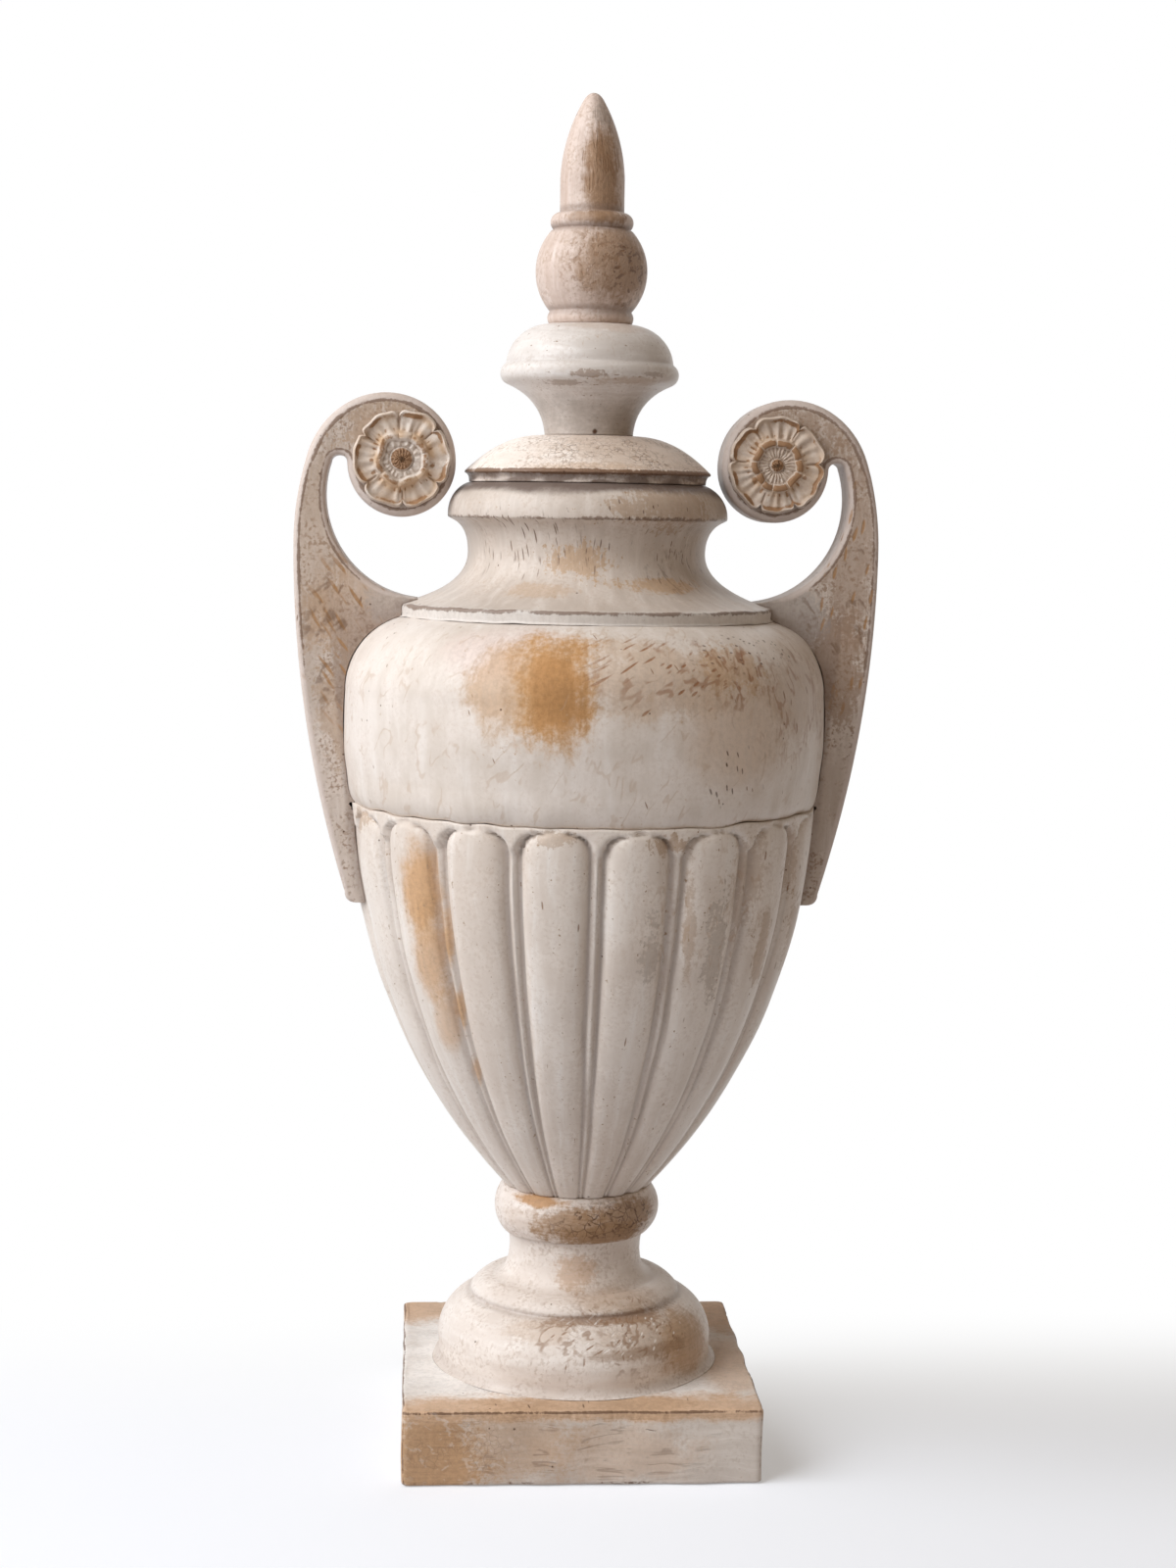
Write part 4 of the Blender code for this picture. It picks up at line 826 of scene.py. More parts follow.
lidLook = {
    "step": 0.5, "arris": 0.35, "cols": 256, "uneven": 0.12, "seed": 16,
    "outside": lambda h, w: [
        ("at", 0, h - pinDepth), ("to", pinBore, h - pinDepth), ("to", pinBore, h), ("to", 24, h),
        ("bend", (24 + w) / 2, h - 0.8, w, h - 16), ("to", w, h - 16.8),
        ("bend", w - 2.1, h - 16.8, w - 2.1, h - 20.8)],
    "inside": lambda h, w: [("to", 41.4, h - 20.8), ("to", 41.4, 1.5), ("to", 39.9, 0), ("to", 0, 0)],
    "paint": {
        "stroke": (18, 18, 3), "specks": 0.1, "rubShare": 0.9, "grimeAndShadeShare": 0.85, "pitShare": 0.25,
        "stipple": 0.55, "bump": 0.4,
        "patches": [
            ((24, -30, 444), (66, 62, 24), "stain", 0.4, 0.7),
            ((-10, -55, 436), (64, 18, 5), "tan", 0.45, 0.5),
            ((-20, 40, 444), (46, 40, 14), "stain", 0.5, 0.6)],
        "crackle": [
            (2.6, 0.09, 0.5, ((14, -34, 444), (60, 62, 20)))],
        "colours": {
            "rub": (112, 82, 60), "tan": (198, 164, 132), "cream": (238, 226, 216),
            "greige": (223, 208, 196), "grimeAndShade": (100, 80, 69)},
    },
}
lidPaint = paintCoat("lidPaint", lidLook["paint"])


def carveLid(theta, z, r, rr, zz, rub, grimeAndShade, onOutside):
    # the undercut below the lid's edge is darkened: painted shade under the overhang, with grime
    base, height = span("lid")[:2]
    under = 1 - easeStep(z, base + height - 17.6, base + height - 16.6)
    dark = 0.75 + 0.35 * ripple(theta, z, 35, 20, 8)
    return rr, zz, rub, np.maximum(grimeAndShade, np.where(onOutside, under * np.clip(dark, 0, 1), 0))


turnPiece("lid", "lid_assembly", lidLook, lidPaint, carveLid)

knobLook = {
    "step": 0.5, "arris": 0.4, "cols": 224, "uneven": 0.12, "seed": 17,
    "outside": lambda h, w: [
        ("at", 0, h - pinDepth), ("to", pinBore, h - pinDepth), ("to", pinBore, h), ("to", 20.6, h),
        ("arc", w - 2.6, h - 17, 4.2), ("arc", w - 2.6, h - 25.8, 2.6), ("bend", 20.6, h - 32.5, 19.6, 0)],
    "inside": lambda h, w: [("to", pinBore, 0), ("to", pinBore, pinDepth), ("to", 0, pinDepth)],
    "paint": {
        "stroke": (24, 24, 3), "chalkShare": 0.5, "specks": 0.06, "rubShare": 0.3, "grimeAndShadeShare": 0.35,
        "pitShare": 0.08, "stipple": 0.2, "gloss": 0.34,
        "patches": [
            # painted shade: a grey band on the stem under the cap, as in its shadow
            ((0, 0, 459), (44, 44, 18), "stone", 0.75, 0.15, 3),
            ((1.5, -19.5, 452.5), (2, 3, 2), "umber", 1.0, 0.1),
            ((6, -20, 497), (30, 18, 7), "tan", 0.45, 0.6),
            ((-3, -39, 476.5), (12, 9, 2.4), "chip", 0.75, 1.2, 3),
            ((26, -29, 477), (9, 11, 2), "chip", 0.5, 1.2, 3),
            ((-16, -34, 472.5), (20, 14, 2.4), "chip", 0.6, 1.0, 3),
            ((16, -34, 474), (26, 16, 3), "stain", 0.4, 1.0, 3)],
        "dashes": [
            ((9, 9, 2), 0.22, 0.2, 0, ((6, -36, 474), (40, 20, 7)), "rub")],
        "scratches": [
            ((3, 3, 14), 0.03, 0.5, 12, ((2, -36, 488), (10, 16, 8)), "stain")],
        "colours": {
            "cream": (220, 212, 206), "greige": (201, 191, 183), "tan": (198, 172, 152),
            "chip": (160, 138, 122), "stone": (168, 155, 144)},
    },
}
knobPaint = paintCoat("knobPaint", knobLook["paint"])
turnPiece("lid_knob", "lid_assembly", knobLook, knobPaint)

finialLook = {
    "step": 0.45, "arris": 0.3, "cols": 192, "uneven": 0.1, "seed": 18,
    "outside": lambda h, w: [
        ("at", 0, h), ("bend", 2.4, h, 4.3, h - 3.2), ("arc", 14.2, h - 36.8, 2.1), ("to", 14.2, h - 51.8),
        ("arc", 16.7, h - 59.2, 2.8), ("to", 17.9, h - 59.5), ("arc", 17.9, 5.5, w - 17.9),
        ("arc", 17.9, 0, 1.1)],
    "inside": lambda h, w: [("to", pinBore, 0), ("to", pinBore, pinDepth), ("to", 0, pinDepth)],
    "paint": {
        "stroke": (4, 4, 22), "chalkShare": 0.25, "specks": 0.1, "rubShare": 0.3, "grimeAndShadeShare": 0.5,
        "pitShare": 0.25, "stipple": 0.45, "bump": 0.8,
        "patches": [
            ((12, -20, 526), (36, 34, 28), "brown", 0.75, 0.4),
            ((3.5, -13, 562), (14, 22, 42), "brown", 0.9, 0.4),
            ((4, -10, 590), (9, 12, 12), "slate", 0.5, 0.7),
            ((2, -16, 545), (24, 14, 5), "brown", 0.6, 0.7),
            ((-4, 18, 530), (30, 26, 24), "brown", 0.7, 0.6)],
        "dashes": [
            ((2.4, 2.4, 14), 0.28, 0.4, 0, ((4, -8, 568), (14, 20, 32)), "rub"),
            ((7, 7, 2.4), 0.28, 0.45, 20, ((14, -18, 522), (20, 24, 18)), "rub")],
        "scratches": [
            ((5, 5, 4), 0.12, 0.5, 60, ((2, -22, 526), (24, 24, 20)), "rub"),
            ((8, 8, 4), 0.13, 0.6, 20, ((18, -16, 520), (18, 24, 18)), "umber"),
            ((4, 4, 22), 0.12, 0.6, 0, ((4, -8, 566), (14, 20, 32)), "rub")],
        "colours": {
            "cream": (214, 195, 184), "greige": (192, 170, 156), "brown": (156, 122, 92),
            "slate": (160, 144, 130)},
    },
}
finialPaint = paintCoat("finialPaint", finialLook["paint"])
turnPiece("finial", "lid_assembly", finialLook, finialPaint)


# handles

handleLook = {
    "spacing": 1.1, "round": 2.3, "scrollRound": 3.4, "scribeRound": 0.25, "leastRound": 0.02, "gap": 0.3,
    "eye": 23.7, "strap": 13.8, "loop": 45.5, "heel": 2.2, "loopBase": 15, "flare": 35, "sweep": 515,
    "widest": 36, "inset": 5, "curl": 1.6, "crotch": 3, "tail": 5, "rosetteRise": 1.5, "lobeCut": 0.9,
    "roundRoom": 0.3, "faceRoom": 0.45, "fineStep": 0.5,
    "heelEase": (0, 18), "tailEase": (5, 0.5), "wornFrom": (14, 22),   # mm from heel, tail and body
    "face": [(0.5, 0.85, 0.2), (1.2, 0.3, 0), (2.2, 0.1, 0)],     # rings on the flat: way in, rubbed, pale
    "paint": {
        "stroke": (4, 4, 28), "chalkShare": 0.3, "specks": 0.14, "rubShare": 0.75, "pitShare": 0.3,
        "stipple": 0.75, "bump": 0.4,
        "patches": [
            ((-118, -12, 400), (20, 16, 76), "stain", 0.35, 0.7),
            ((-102, -12, 372), (36, 16, 34), "ochre", 0.4, 0.7),
            ((-104, -12, 330), (24, 16, 50), "stain", 0.5, 0.8),
            ((116, -12, 406), (20, 16, 80), "brown", 0.5, 0.7),
            ((112, -12, 350), (22, 16, 44), "brown", 0.6, 0.8),
            ((84, -12, 452), (44, 16, 26), "brown", 0.5, 0.9),
            ((-84, -12, 452), (44, 16, 26), "stain", 0.6, 0.9),
            ((92, -12, 372), (24, 16, 24), "slate", 0.7, 0.6),
            ((-86, -12, 376), (18, 16, 18), "slate", 0.6, 0.5),
            ((112, 12, 390), (22, 16, 70), "stain", 0.6, 0.8),
            ((-112, 12, 390), (22, 16, 70), "stain", 0.6, 0.8)],
        "dashes": [
            ((2.4, 2.4, 16), 0.22, 0.07, 8, None, "rub"),
            ((2.8, 2.8, 20), 0.36, 0.8, -35, ((-106, -12, 362), (26, 20, 50)), "streak"),
            ((2.8, 2.8, 14), 0.32, 0.6, 12, ((116, -12, 380), (20, 20, 70)), "streak")],
        "scratches": [
            ((7, 7, 18), 0.07, 0.6, 35, ((-112, -12, 360), (18, 20, 40)), "rub"),
            ((7, 7, 18), 0.05, 0.55, -30, ((112, -12, 386), (24, 20, 54)), "rub")],
        "colours": {
            "cream": (206, 192, 181), "greige": (184, 168, 155), "ochre": (182, 144, 108),
            "brown": (152, 120, 94), "rub": (108, 80, 58), "slate": (178, 168, 161),
            "pale": (204, 189, 180), "pit": (136, 108, 86), "streak": (158, 118, 78)},
    },
}
handlePaint = paintCoat("handlePaint", handleLook["paint"])


def handleOutline(look):
    # up the loop, over the crotch, under the eye, over the scroll, down the back to the tail,
    # and up along the body
    low, high = corners("handle_right")
    rosette = np.mean(corners("rosette_right_front"), axis=0)
    eyeX, eyeZ, eye = rosette[0], rosette[2] - look["rosetteRise"], look["eye"]
    reach, tail, radius = high[0], low[2], look["loop"]
    neckBase = span("neck")[0]
    loopX, loopZ = reach - look["strap"] - radius, neckBase + look["loopBase"] + look["heel"] + radius
    body = np.concatenate([sections[name] for name in ("neck", "shoulder_drum", "fluted_bowl")])
    body = body + [look["gap"], 0]
    flare = sections["neck"][sections["neck"][:, 1] < neckBase + look["flare"]] + [look["gap"], 0]
    over = loopZ - np.sqrt(np.maximum(radius ** 2 - (flare[:, 0] - loopX) ** 2, 0)) - flare[:, 1]
    meet = np.flatnonzero((over[1:] > 0) & (over[:-1] <= 0))[0]
    heelX, heelZ = flare[meet]

    def sweep(start, end, count, f):           # points of a curve over an even range
        return np.column_stack(f(np.linspace(start, end, count)))

    def oval(x, z, wide, tall, start, end, count):   # part of an oval, from one angle to another
        return sweep(start, end, count, lambda a: (x + wide * np.cos(a), z + tall * np.sin(a)))

    first, last = -math.acos((heelX - loopX) / radius), math.asin((eyeZ - loopZ) / radius)
    loop = oval(loopX, loopZ, radius, radius, first, last, 200)
    outer, inner = loop[-1, 0], eyeX + eye
    crotch = oval((outer + inner) / 2, eyeZ, (outer - inner) / 2, look["crotch"], 0, math.pi, 30)
    under = oval(eyeX, eyeZ, eye, eye, 0, -math.pi, 120)
    growth = reach - look["inset"] - eyeX - eye
    over = sweep(0, 1, 160, lambda t: (eyeX - (eye + growth * t ** look["curl"]) * np.cos(math.pi * t),
                                       eyeZ + (eye + growth * t ** look["curl"]) * np.sin(math.pi * t)))
    widest = eyeZ - look["widest"]
    bulge = [("at", *over[-1]), ("bend", reach, eyeZ - look["widest"] / 2, reach, widest)]
    back = traceOutline(bulge, look["fineStep"])
    down = sweep(widest, tail + look["tail"], 200,
                 lambda z: (reach - look["sweep"] + np.sqrt(look["sweep"] ** 2 - (widest - z) ** 2), z))
    edge = down[-1, 0]
    keep = body[(body[:, 1] > tail) & (body[:, 1] < heelZ) & (body[:, 0] > heelX)]
    keep = keep[np.argsort(keep[:, 1], kind="stable")]
    foot = [("at", *down[-1]), ("bend", edge, tail, edge - look["tail"], tail), ("to", keep[0, 0], tail)]
    end = traceOutline(foot, look["fineStep"])
    scribed = np.concatenate([[[keep[0, 0], tail]], keep, [[heelX, heelZ]]])

    # even spacing, with how round the edge is on each stretch
    plain, scroll = look["round"], look["scrollRound"]
    stretches = [(loop, plain), (crotch, plain), (under, scroll), (over, scroll),
                 (back, plain), (down, plain), (end, plain), (scribed, 0.0)]
    points, rounds, onBody = [], [], []
    for line, edgeRound in stretches:
        spaced, way = evenPoints(line, look["spacing"])
        way, whole = way[:-1], way[-1]
        share = np.ones(len(way))
        if line is loop:
            share = easeStep(way, *look["heelEase"])
        if line is end:
            share = 1 - easeStep(way, *(whole - v for v in look["tailEase"]))
        points.append(spaced[:-1])
        rounds.append(edgeRound * share)
        onBody.append(np.full(len(way), line is scribed))
    return np.concatenate(points), blur(np.concatenate(rounds), 2, ring=True), np.concatenate(onBody)


def makeHandle(side, look):
    # an edge section carried round the outline: flat face, quarter round, side, quarter round, flat face
    low, high = corners("handle_" + side)
    thick = (high[1] - low[1]) / 2
    line, rounds, onBody = handleOutline(look)
    rounds = np.where(onBody, look["scribeRound"], rounds)
    along = np.roll(line, -1, 0) - np.roll(line, 1, 0)
    along /= np.hypot(*along.T)[:, None]
    normal = np.column_stack([along[:, 1], -along[:, 0]])
    area = (line[:, 0] * np.roll(line[:, 1], -1) - line[:, 1] * np.roll(line[:, 0], -1)).sum()
    normal = normal * np.sign(area)

    # room for the edge: how far each free point is from the scribed stretch, and the other way round
    gap, across = (np.hypot(*(line[:, None] - line[None, part]).transpose(2, 0, 1)).min(1)
                   for part in (onBody, ~onBody))
    room, least = np.where(onBody, across, gap), look["leastRound"]
    rounds = np.maximum(np.minimum(rounds, room * look["roundRoom"]), least)
    full = np.clip(rounds / look["round"], 0, 1)
    flare = (room * look["faceRoom"] - rounds) / look["face"][-1][0]
    flare = np.maximum(np.minimum(full, flare), least)

    # each ring: how far in from the edge, how far from the mid plane, how rubbed and how pale
    half = [(rounds * (1 - math.cos(a)), thick - rounds + rounds * math.sin(a), math.sin(a) ** 12, 1)
            for a in np.linspace(0, math.pi / 2, 7)]
    face = [(rounds + flare * d, thick + 0 * rounds, wear, light) for d, wear, light in look["face"]]
    middle = [(0 * rounds, (thick - rounds) * t, 0, 1) for t in (-0.5, 0, 0.5)]
    rings = [(i, -d, w, p) for i, d, w, p in face[::-1] + half[::-1]] + middle + half + face
    bowlTop = sum(span("fluted_bowl")[:2])
    points, rub, pale = [], [], []
    for inward, depth, wear, light in rings:
        flat = line - normal * inward[:, None]
        turn = math.pi / 2 + np.arcsin(np.clip(depth / flat[:, 0], -1, 1))
        cut = np.where(flat[:, 1] < bowlTop - 1, lobeDepth(turn, flat[:, 1])[0] * look["lobeCut"], 0)
        x = np.where(onBody, np.sqrt(np.maximum((flat[:, 0] - cut) ** 2 - depth ** 2, 0)), flat[:, 0])
        points.append(np.column_stack([x, depth + 0 * x, flat[:, 1]]))
        rub.append(np.where(onBody, 0, wear * full * easeStep(gap, *look["wornFrom"])))
        pale.append(np.where(onBody, 0, light * full))
    points = np.array(points)
    if side == "left":
        points[..., 0] *= -1
    rows, cols = points.shape[:2]
    points = points.reshape(-1, 3)
    front, back = np.arange(cols)[None, :], (np.arange(cols) + (rows - 1) * cols)[None, ::-1]
    # where the handle meets the body it is darkened: grime and painted shade between the parts
    marks = {"lay": points * mm, "rub": np.array(rub).ravel(), "pale": np.array(pale).ravel(),
             "grimeAndShade": np.repeat(onBody[None, :] * 0.8, rows, 0).ravel()}
    makePiece("handle_" + side, points, [ringFaces(rows, cols, False), front, back],
              marks, "urn", handlePaint, flat=2)


for side in ("left", "right"):
    makeHandle(side, handleLook)


# rosettes

rosetteLook = {
    "rows": 150, "cols": 480, "petals": 6, "notch": 1.9, "creases": 4, "seed": 40, "bossRise": 1.2,
    "discRise": 2.3, "podRise": 1.3, "petalRise": 2.6, "cupDepth": 0.8, "rollRise": 1.1, "foldDepth": 0.6,
    "right": {"turn": 0, "pods": 10, "podRing": 9.8, "podGap": 0.95, "boss": 2.8, "marks": 26, "band": 1.0,
              "wander": 0.25, "wash": 0.5, "podRub": 1.2},
    "left": {"turn": 33, "pods": 9, "podRing": 10.2, "podGap": 0.6, "boss": 4.8, "marks": 15, "band": 0.75,
             "wander": 0.4, "wash": 0.95, "podRub": 0.8},
    "paint": {
        "stroke": (3, 3, 3), "chalkShare": 0.3, "specks": 0.06, "rubShare": 0.9, "grimeAndShadeShare": 0.7,
        "bump": 0.3, "pitShare": 0.4, "stipple": 0.25,
        "colours": {
            "cream": (214, 202, 191), "greige": (194, 176, 160), "rub": (142, 104, 70),
            "grimeAndShade": (130, 102, 80), "pale": (188, 153, 116)},
    },
}
rosettePaint = paintCoat("rosettePaint", rosetteLook["paint"])


def makeRosette(side, face, seed, look):
    # height over a disc: boss, lined disc, ring of pods, creased petals that cup up to a rolled rim,
    # and folds between the petals
    name = "rosette_" + side + "_" + face
    own = look[side]
    low, high = corners(name)
    centre, edge, relief = (low + high) / 2, (high - low)[[0, 2]].max() / 2, high[1] - low[1]
    share = np.linspace(0, 1, look["rows"])[1:, None]
    phi = np.linspace(0, 2 * math.pi, look["cols"], endpoint=False)[None, :]
    turned = phi - math.radians(own["turn"]) + 0.06 * ripple(phi, 0, seed, 4)
    petal = turned / (2 * math.pi) * look["petals"]
    across = petal % 1 - 0.5                   # 0 on a petal's middle, a half at its notches
    toNotch = 0.5 - np.abs(across)
    rim = edge * (1 - 0.02 * (2 * np.abs(across)) ** 4) - look["notch"] * np.exp(-(toNotch / 0.05) ** 1.4)
    rim = rim + 0.3 * ripple(phi, 0, seed + 1, 15) * np.minimum(toNotch * 6, 1)
    r = share * rim
    fromRim, fromFold = rim - r, toNotch * 2 * math.pi / look["petals"] * r
    lip = 0.8 + 0.25 * ripple(phi, 0, seed + 3, 13)    # how far each stretch of rim is rolled over

    # boss, lined disc and pods
    boss, ring = own["boss"], own["podRing"] + own["wander"] * ripple(phi, 0, seed + 4, 7)
    knob = look["bossRise"] * np.sqrt(np.maximum(1 - (r / boss) ** 2, 0)) - 0.4 * bell(r - boss - 0.5, 0.5)
    knob = knob + 0.2 * ripple(phi, r, seed + 5, 20, 3) * (r < boss)
    lined = easeStep(r, boss + 0.6, boss + 1.4) * (1 - easeStep(r, ring - 2.4, ring - 1.6))
    grooves = 0.2 * np.cos(own["marks"] * phi) + 0.12 * ripple(phi, r, seed + 6, 30, 6)
    disc = look["discRise"] + grooves * lined + knob
    beads = np.abs(np.cos(own["pods"] / 2 * phi + 0.5 * ripple(phi, 0, seed + 7, 3))) ** 0.35
    pod = 1 - own["podGap"] * (1 - beads)
    podBand = np.exp(-np.abs((r - ring) / 1.7) ** 3.5)

    # petals
    crease = np.cos(2 * math.pi * look["creases"] * petal + 1.4 * ripple(phi, 0, seed + 8, 9))
    along = np.clip((r - ring - 1.5) / (rim - ring - 1.5), 0, 1)
    ruffle = 0.26 * crease * (1 - along) + 0.3 * ripple(phi, r * 0.2, seed + 9, 26, 40)
    ruffle = ruffle * easeStep(along, 0, 0.15) * easeStep(fromRim, 1.0, 3)
    cup = look["petalRise"] - look["cupDepth"] * np.sin(math.pi * along ** 0.9) + ruffle
    roll = look["rollRise"] * lip * bell(fromRim - 1.0, 0.8)
    fold = look["foldDepth"] * bell(fromFold, 0.5) * easeStep(along, 0.1, 0.3)
    inner = 1 - easeStep(r, ring - 1.6, ring - 0.6)
    height = disc * inner + (cup + roll - fold) * (1 - inner) + look["podRise"] * pod * podBand
    height = height * (0.45 + 0.55 * np.sqrt(np.clip(1 - (1 - fromRim / 1.2).clip(0, 1) ** 2, 0, 1)))
    height = np.clip(height + 0.06 * ripple(phi, r, seed + 2, 16, 9), 0.3, None)
    height = height * relief / height.max()

    # rubbed rims, pods and boss; grime and painted shade in folds, gaps, grooves and inside the rim;
    # a wash of colour round pods and rim
    rub = bell(fromRim - 2.1, 1.25) * np.clip(own["band"] + 0.4 * ripple(phi, 0, seed + 10, 11), 0, 1.25)
    rub = rub + own["podRub"] * podBand * easeStep(pod, 0.4, 0.7)
    rub = rub + 1.1 * (1 - easeStep(r, boss - 0.4, boss + 0.2))
    rub = rub + bell(r - ring - 3.2, 2.0) * (0.45 - 0.45 * crease) * easeStep(r, ring + 1.2, ring + 2.2)
    grimeAndShade = bell(fromFold, 0.5) * easeStep(along, 0.1, 0.3) * 0.6
    grimeAndShade = grimeAndShade + 0.5 * podBand * (1 - easeStep(pod, 0.3, 0.6))
    grimeAndShade = grimeAndShade + bell(r - ring + 2.1, 0.5) * 0.5 + bell(r - boss - 0.5, 0.5) * 0.6
    grimeAndShade = grimeAndShade + lined * 0.35 * (0.5 - 0.5 * np.cos(own["marks"] * phi)) + 0.35 * bell(fromRim - 2.6, 1.6)
    wash = bell(r - ring - 1.5, 3.8) * easeStep(r, ring - 1.5, ring) + 0.7 * bell(fromRim - 2.4, 1.8)
    wash = own["wash"] * wash * np.clip(0.8 + 0.45 * ripple(phi, r, seed + 11, 9, 20), 0, 1.2)

    # the front faces -y and the back +y, each from its seat on the scroll
    out, seat = (-1, high[1]) if face == "front" else (1, low[1])
    x, z = centre[0] + r * np.cos(phi), centre[2] + r * np.sin(phi)
    grid = np.stack([x, seat + out * height, z], -1)
    skirt = grid[-1:].copy()
    skirt[..., 1] = seat
    rings = np.concatenate([grid, skirt])
    poles = [[[centre[0], y, centre[2]]] for y in (seat + out * height[0].mean(), seat)]
    points = np.concatenate([poles[0], rings.reshape(-1, 3), poles[1]])
    faces = [ringFaces(len(rings), look["cols"], False) + 1] + capFaces(look["cols"], len(points) - 1)
    marks = {"rub": rub, "grimeAndShade": np.clip(grimeAndShade, 0, 1), "pale": np.clip(wash, 0, 1)}
    marks = {label: np.concatenate([[0], m.ravel(), m[-1], [0]]) for label, m in marks.items()}
    makePiece(name, points, faces, {"lay": points * mm, **marks}, "urn", rosettePaint)


places = [(side, face) for side in ("left", "right") for face in ("front", "back")]
for number, (side, face) in enumerate(places):
    makeRosette(side, face, rosetteLook["seed"] + 5 * number, rosetteLook)


# dowels keep their solids and get bare wood

def woodGrain(name):
    # bare turned wood: long stretched noise for the grain, darker along its streaks
    wood = bpy.data.materials.new(name)
    bench = Bench(wood)
    spot = bench.add("ShaderNodeTexCoord", {}, {}, "Object")
    grain = bench.noise(spot, (1.2, 1.2, 30), 4, 0.6)
    pores = bench.noise(spot, (0.4, 0.4, 8), 2, 0.5)
    colour = bench.tint(bench.ease(grain, 0.35, 0.7), hue(196, 158, 112), hue(150, 110, 70))
    bump = bench.add("ShaderNodeBump", {}, {"Strength": 0.4, "Distance": 0.3 * mm, "Height": pores}, "Normal")
    skin = {"Base Color": colour, "Roughness": 0.55 + pores * 0.25, "Normal": bump}
    skin = bench.add("ShaderNodeBsdfPrincipled", {}, skin)
    bench.add("ShaderNodeOutputMaterial", {}, {"Surface": skin})
    return wood


dowelWood = woodGrain("dowelWood")
for name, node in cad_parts.items():
    if "dowel" in name:
        node.data.materials.clear()
        node.data.materials.append(dowelWood)
print("paint and wood done")


# floor, light and camera

# places and lengths in metres; the floor fades to white over a ring round the part and over a strip behind it
studio = {
    "key": {"place": (-1.46, -0.72, 1.50), "size": 1.7, "power": 60, "tone": (0.91, 0.955, 1.0)},
    "fill": {"place": (1.5, -1.2, 0.7), "size": 1.2, "power": 2.0, "tone": (1.0, 0.80, 0.58)},
    "sky": 0.21, "skyTone": (1.0, 0.79, 0.58, 1.0), "white": (1, 1, 1, 1),
    "floorLift": 0.31, "floorTone": hue(210, 212, 218), "floorHalf": 3, "floorLines": 13, "floorDrop": 0.0003,
    "fadeRing": (0.35, 1.1), "fadeBack": (-0.06, 0.17),
}


def makeLamp(name, look):                      # a square lamp that faces the middle of the part
    lamp = bpy.data.lights.new(name, "AREA")
    lamp.shape, lamp.size, lamp.energy, lamp.color = "SQUARE", look["size"], look["power"], look["tone"]
    holder = bpy.data.objects.new(name, lamp)
    holder.location = look["place"]
    aim = (cadLow + cadHigh) / 2 - holder.location
    holder.rotation_mode = "QUATERNION"
    holder.rotation_quaternion = aim.to_track_quat("-Z", "Y")
    bpy.context.scene.collection.objects.link(holder)


def directView(bench):                         # 1 for what is seen straight, in gloss or through glass
    camera, glossy, through = (bench.add("ShaderNodeLightPath", {}, {}, "Is " + kind + " Ray")
                               for kind in ("Camera", "Glossy", "Transmission"))
    return through.work("MAXIMUM", camera + glossy, through)


def makeSky(look):                             # a dim warm sky to light the part, and white where it is seen
    world = bpy.data.worlds.new("studioSky")
    bpy.context.scene.world = world
    bench = Bench(world)
    around = bench.add("ShaderNodeBackground", {}, {"Color": look["skyTone"], "Strength": look["sky"]})
    white = bench.add("ShaderNodeBackground", {}, {"Color": look["white"], "Strength": 1.0})
    mixed = bench.add("ShaderNodeMixShader", {}, {0: directView(bench), 1: around, 2: white})
    bench.add("ShaderNodeOutputWorld", {}, {"Surface": mixed})


def floorPaint(look):                          # takes the shadow near the plinth and fades into white
    paint = bpy.data.materials.new("paleFloor")
    bench = Bench(paint)
    spot = bench.add("ShaderNodeTexCoord", {}, {}, "Object")
    far = bench.add("ShaderNodeVectorMath", {"operation": "LENGTH"}, {0: spot}, 1)
    behind = bench.add("ShaderNodeSeparateXYZ", {}, {"Vector": spot}, "Y")
    fade = bench.ease(far, *look["fadeRing"])
    fade = fade.work("MAXIMUM", fade, bench.ease(behind, *look["fadeBack"]))
    seen = directView(bench)
    matt = bench.add("ShaderNodeBsdfDiffuse", {}, {"Color": look["floorTone"]})
    lift = bench.add("ShaderNodeEmission", {}, {"Color": look["white"], "Strength": seen * look["floorLift"]})
    near = bench.add("ShaderNodeAddShader", {}, {0: matt, 1: lift})
    bare = bench.add("ShaderNodeEmission", {}, {"Color": look["white"], "Strength": 1.0})
    mixed = bench.add("ShaderNodeMixShader", {}, {0: fade * seen, 1: near, 2: bare})
    bench.add("ShaderNodeOutputMaterial", {}, {"Surface": mixed})
    return paint


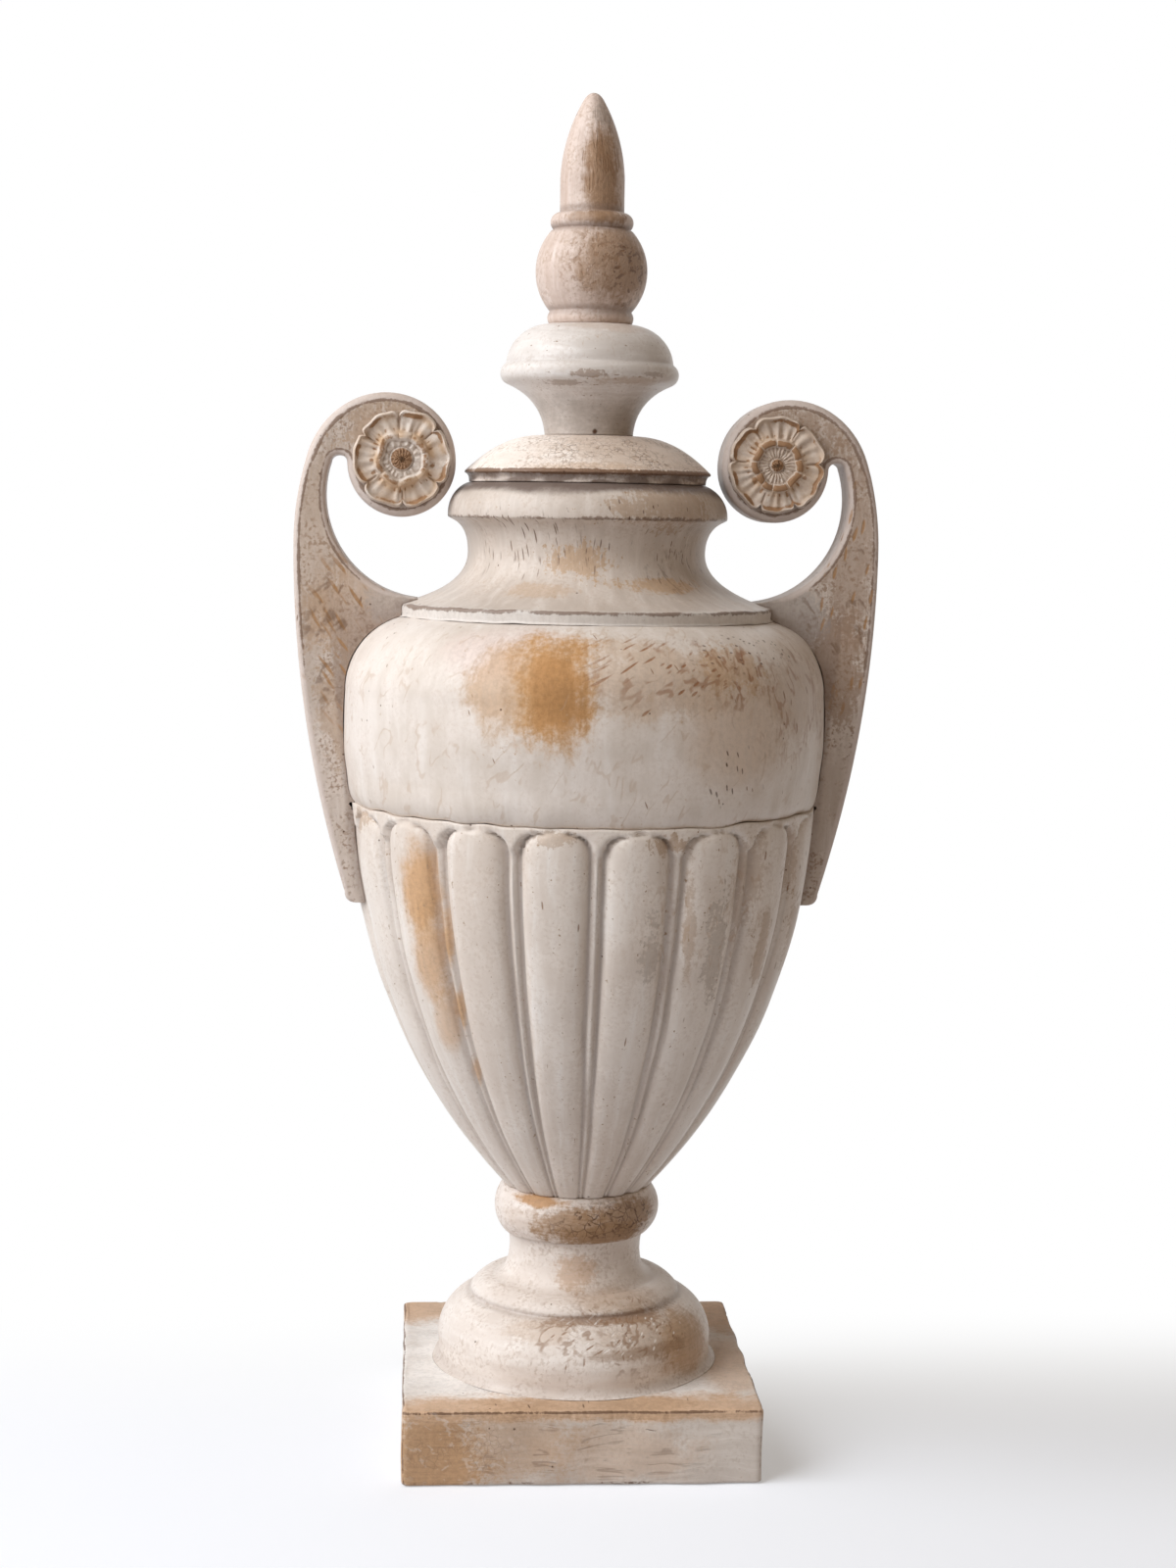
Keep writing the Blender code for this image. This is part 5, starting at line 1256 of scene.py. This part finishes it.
def makeFloor(look):                           # a square grid just below the part
    count = look["floorLines"]
    line = np.linspace(-look["floorHalf"], look["floorHalf"], count)
    x, y = (grid.ravel() for grid in np.meshgrid(line, line))
    i = (np.arange(count - 1)[:, None] * count + np.arange(count - 1)).reshape(-1, 1)
    mesh = bpy.data.meshes.new("floor")
    mesh.from_pydata(np.column_stack([x, y, 0 * x + cadLow.z - look["floorDrop"]]).tolist(), [],
                     (i + [0, 1, count + 1, count]).tolist())
    mesh.materials.append(floorPaint(look))
    floor = bpy.data.objects.new("floor", mesh)
    bpy.context.scene.collection.objects.link(floor)


makeLamp("keyLamp", studio["key"])
makeLamp("fillLamp", studio["fill"])
makeSky(studio)
makeFloor(studio)

# camera fitted to the plinth's corners, the axis and the tip: focal length in pixels of the photo's frame,
# angles in radians, place and clipping in metres
cameraLook = {
    "focal": 2636.5, "frameHeight": 1600, "sensor": 36, "clip": (0.05, 50),
    "yaw": 0.0665, "pitch": 0.1048, "roll": 0.0167, "place": (-0.07437, -1.15232, 0.41751),
}


def makeCamera(look):
    # turn right by yaw, down by pitch, then roll about the view line
    yaw, pitch, roll = look["yaw"], look["pitch"], look["roll"]
    right = np.array([math.cos(yaw), -math.sin(yaw), 0])
    ahead = np.array([math.sin(yaw), math.cos(yaw), 0])
    up = np.array([0, 0, 1.0])
    ahead, up = ahead * math.cos(pitch) - up * math.sin(pitch), up * math.cos(pitch) + ahead * math.sin(pitch)
    x = math.cos(roll) * right + math.sin(roll) * up
    y = math.cos(roll) * up - math.sin(roll) * right
    lens = bpy.data.cameras.new("photoCamera")
    lens.sensor_width = look["sensor"]
    lens.lens = look["sensor"] * look["focal"] / look["frameHeight"]
    lens.clip_start, lens.clip_end = look["clip"]
    holder = bpy.data.objects.new("photoCamera", lens)
    matrix = np.eye(4)
    matrix[:3] = np.column_stack([x, y, -ahead, look["place"]])
    bpy.context.scene.collection.objects.link(holder)
    holder.matrix_world = Matrix(matrix.tolist())
    bpy.context.scene.camera = holder


makeCamera(cameraLook)
bpy.context.scene.view_settings.view_transform = "Standard"
print("stage, light and camera done")
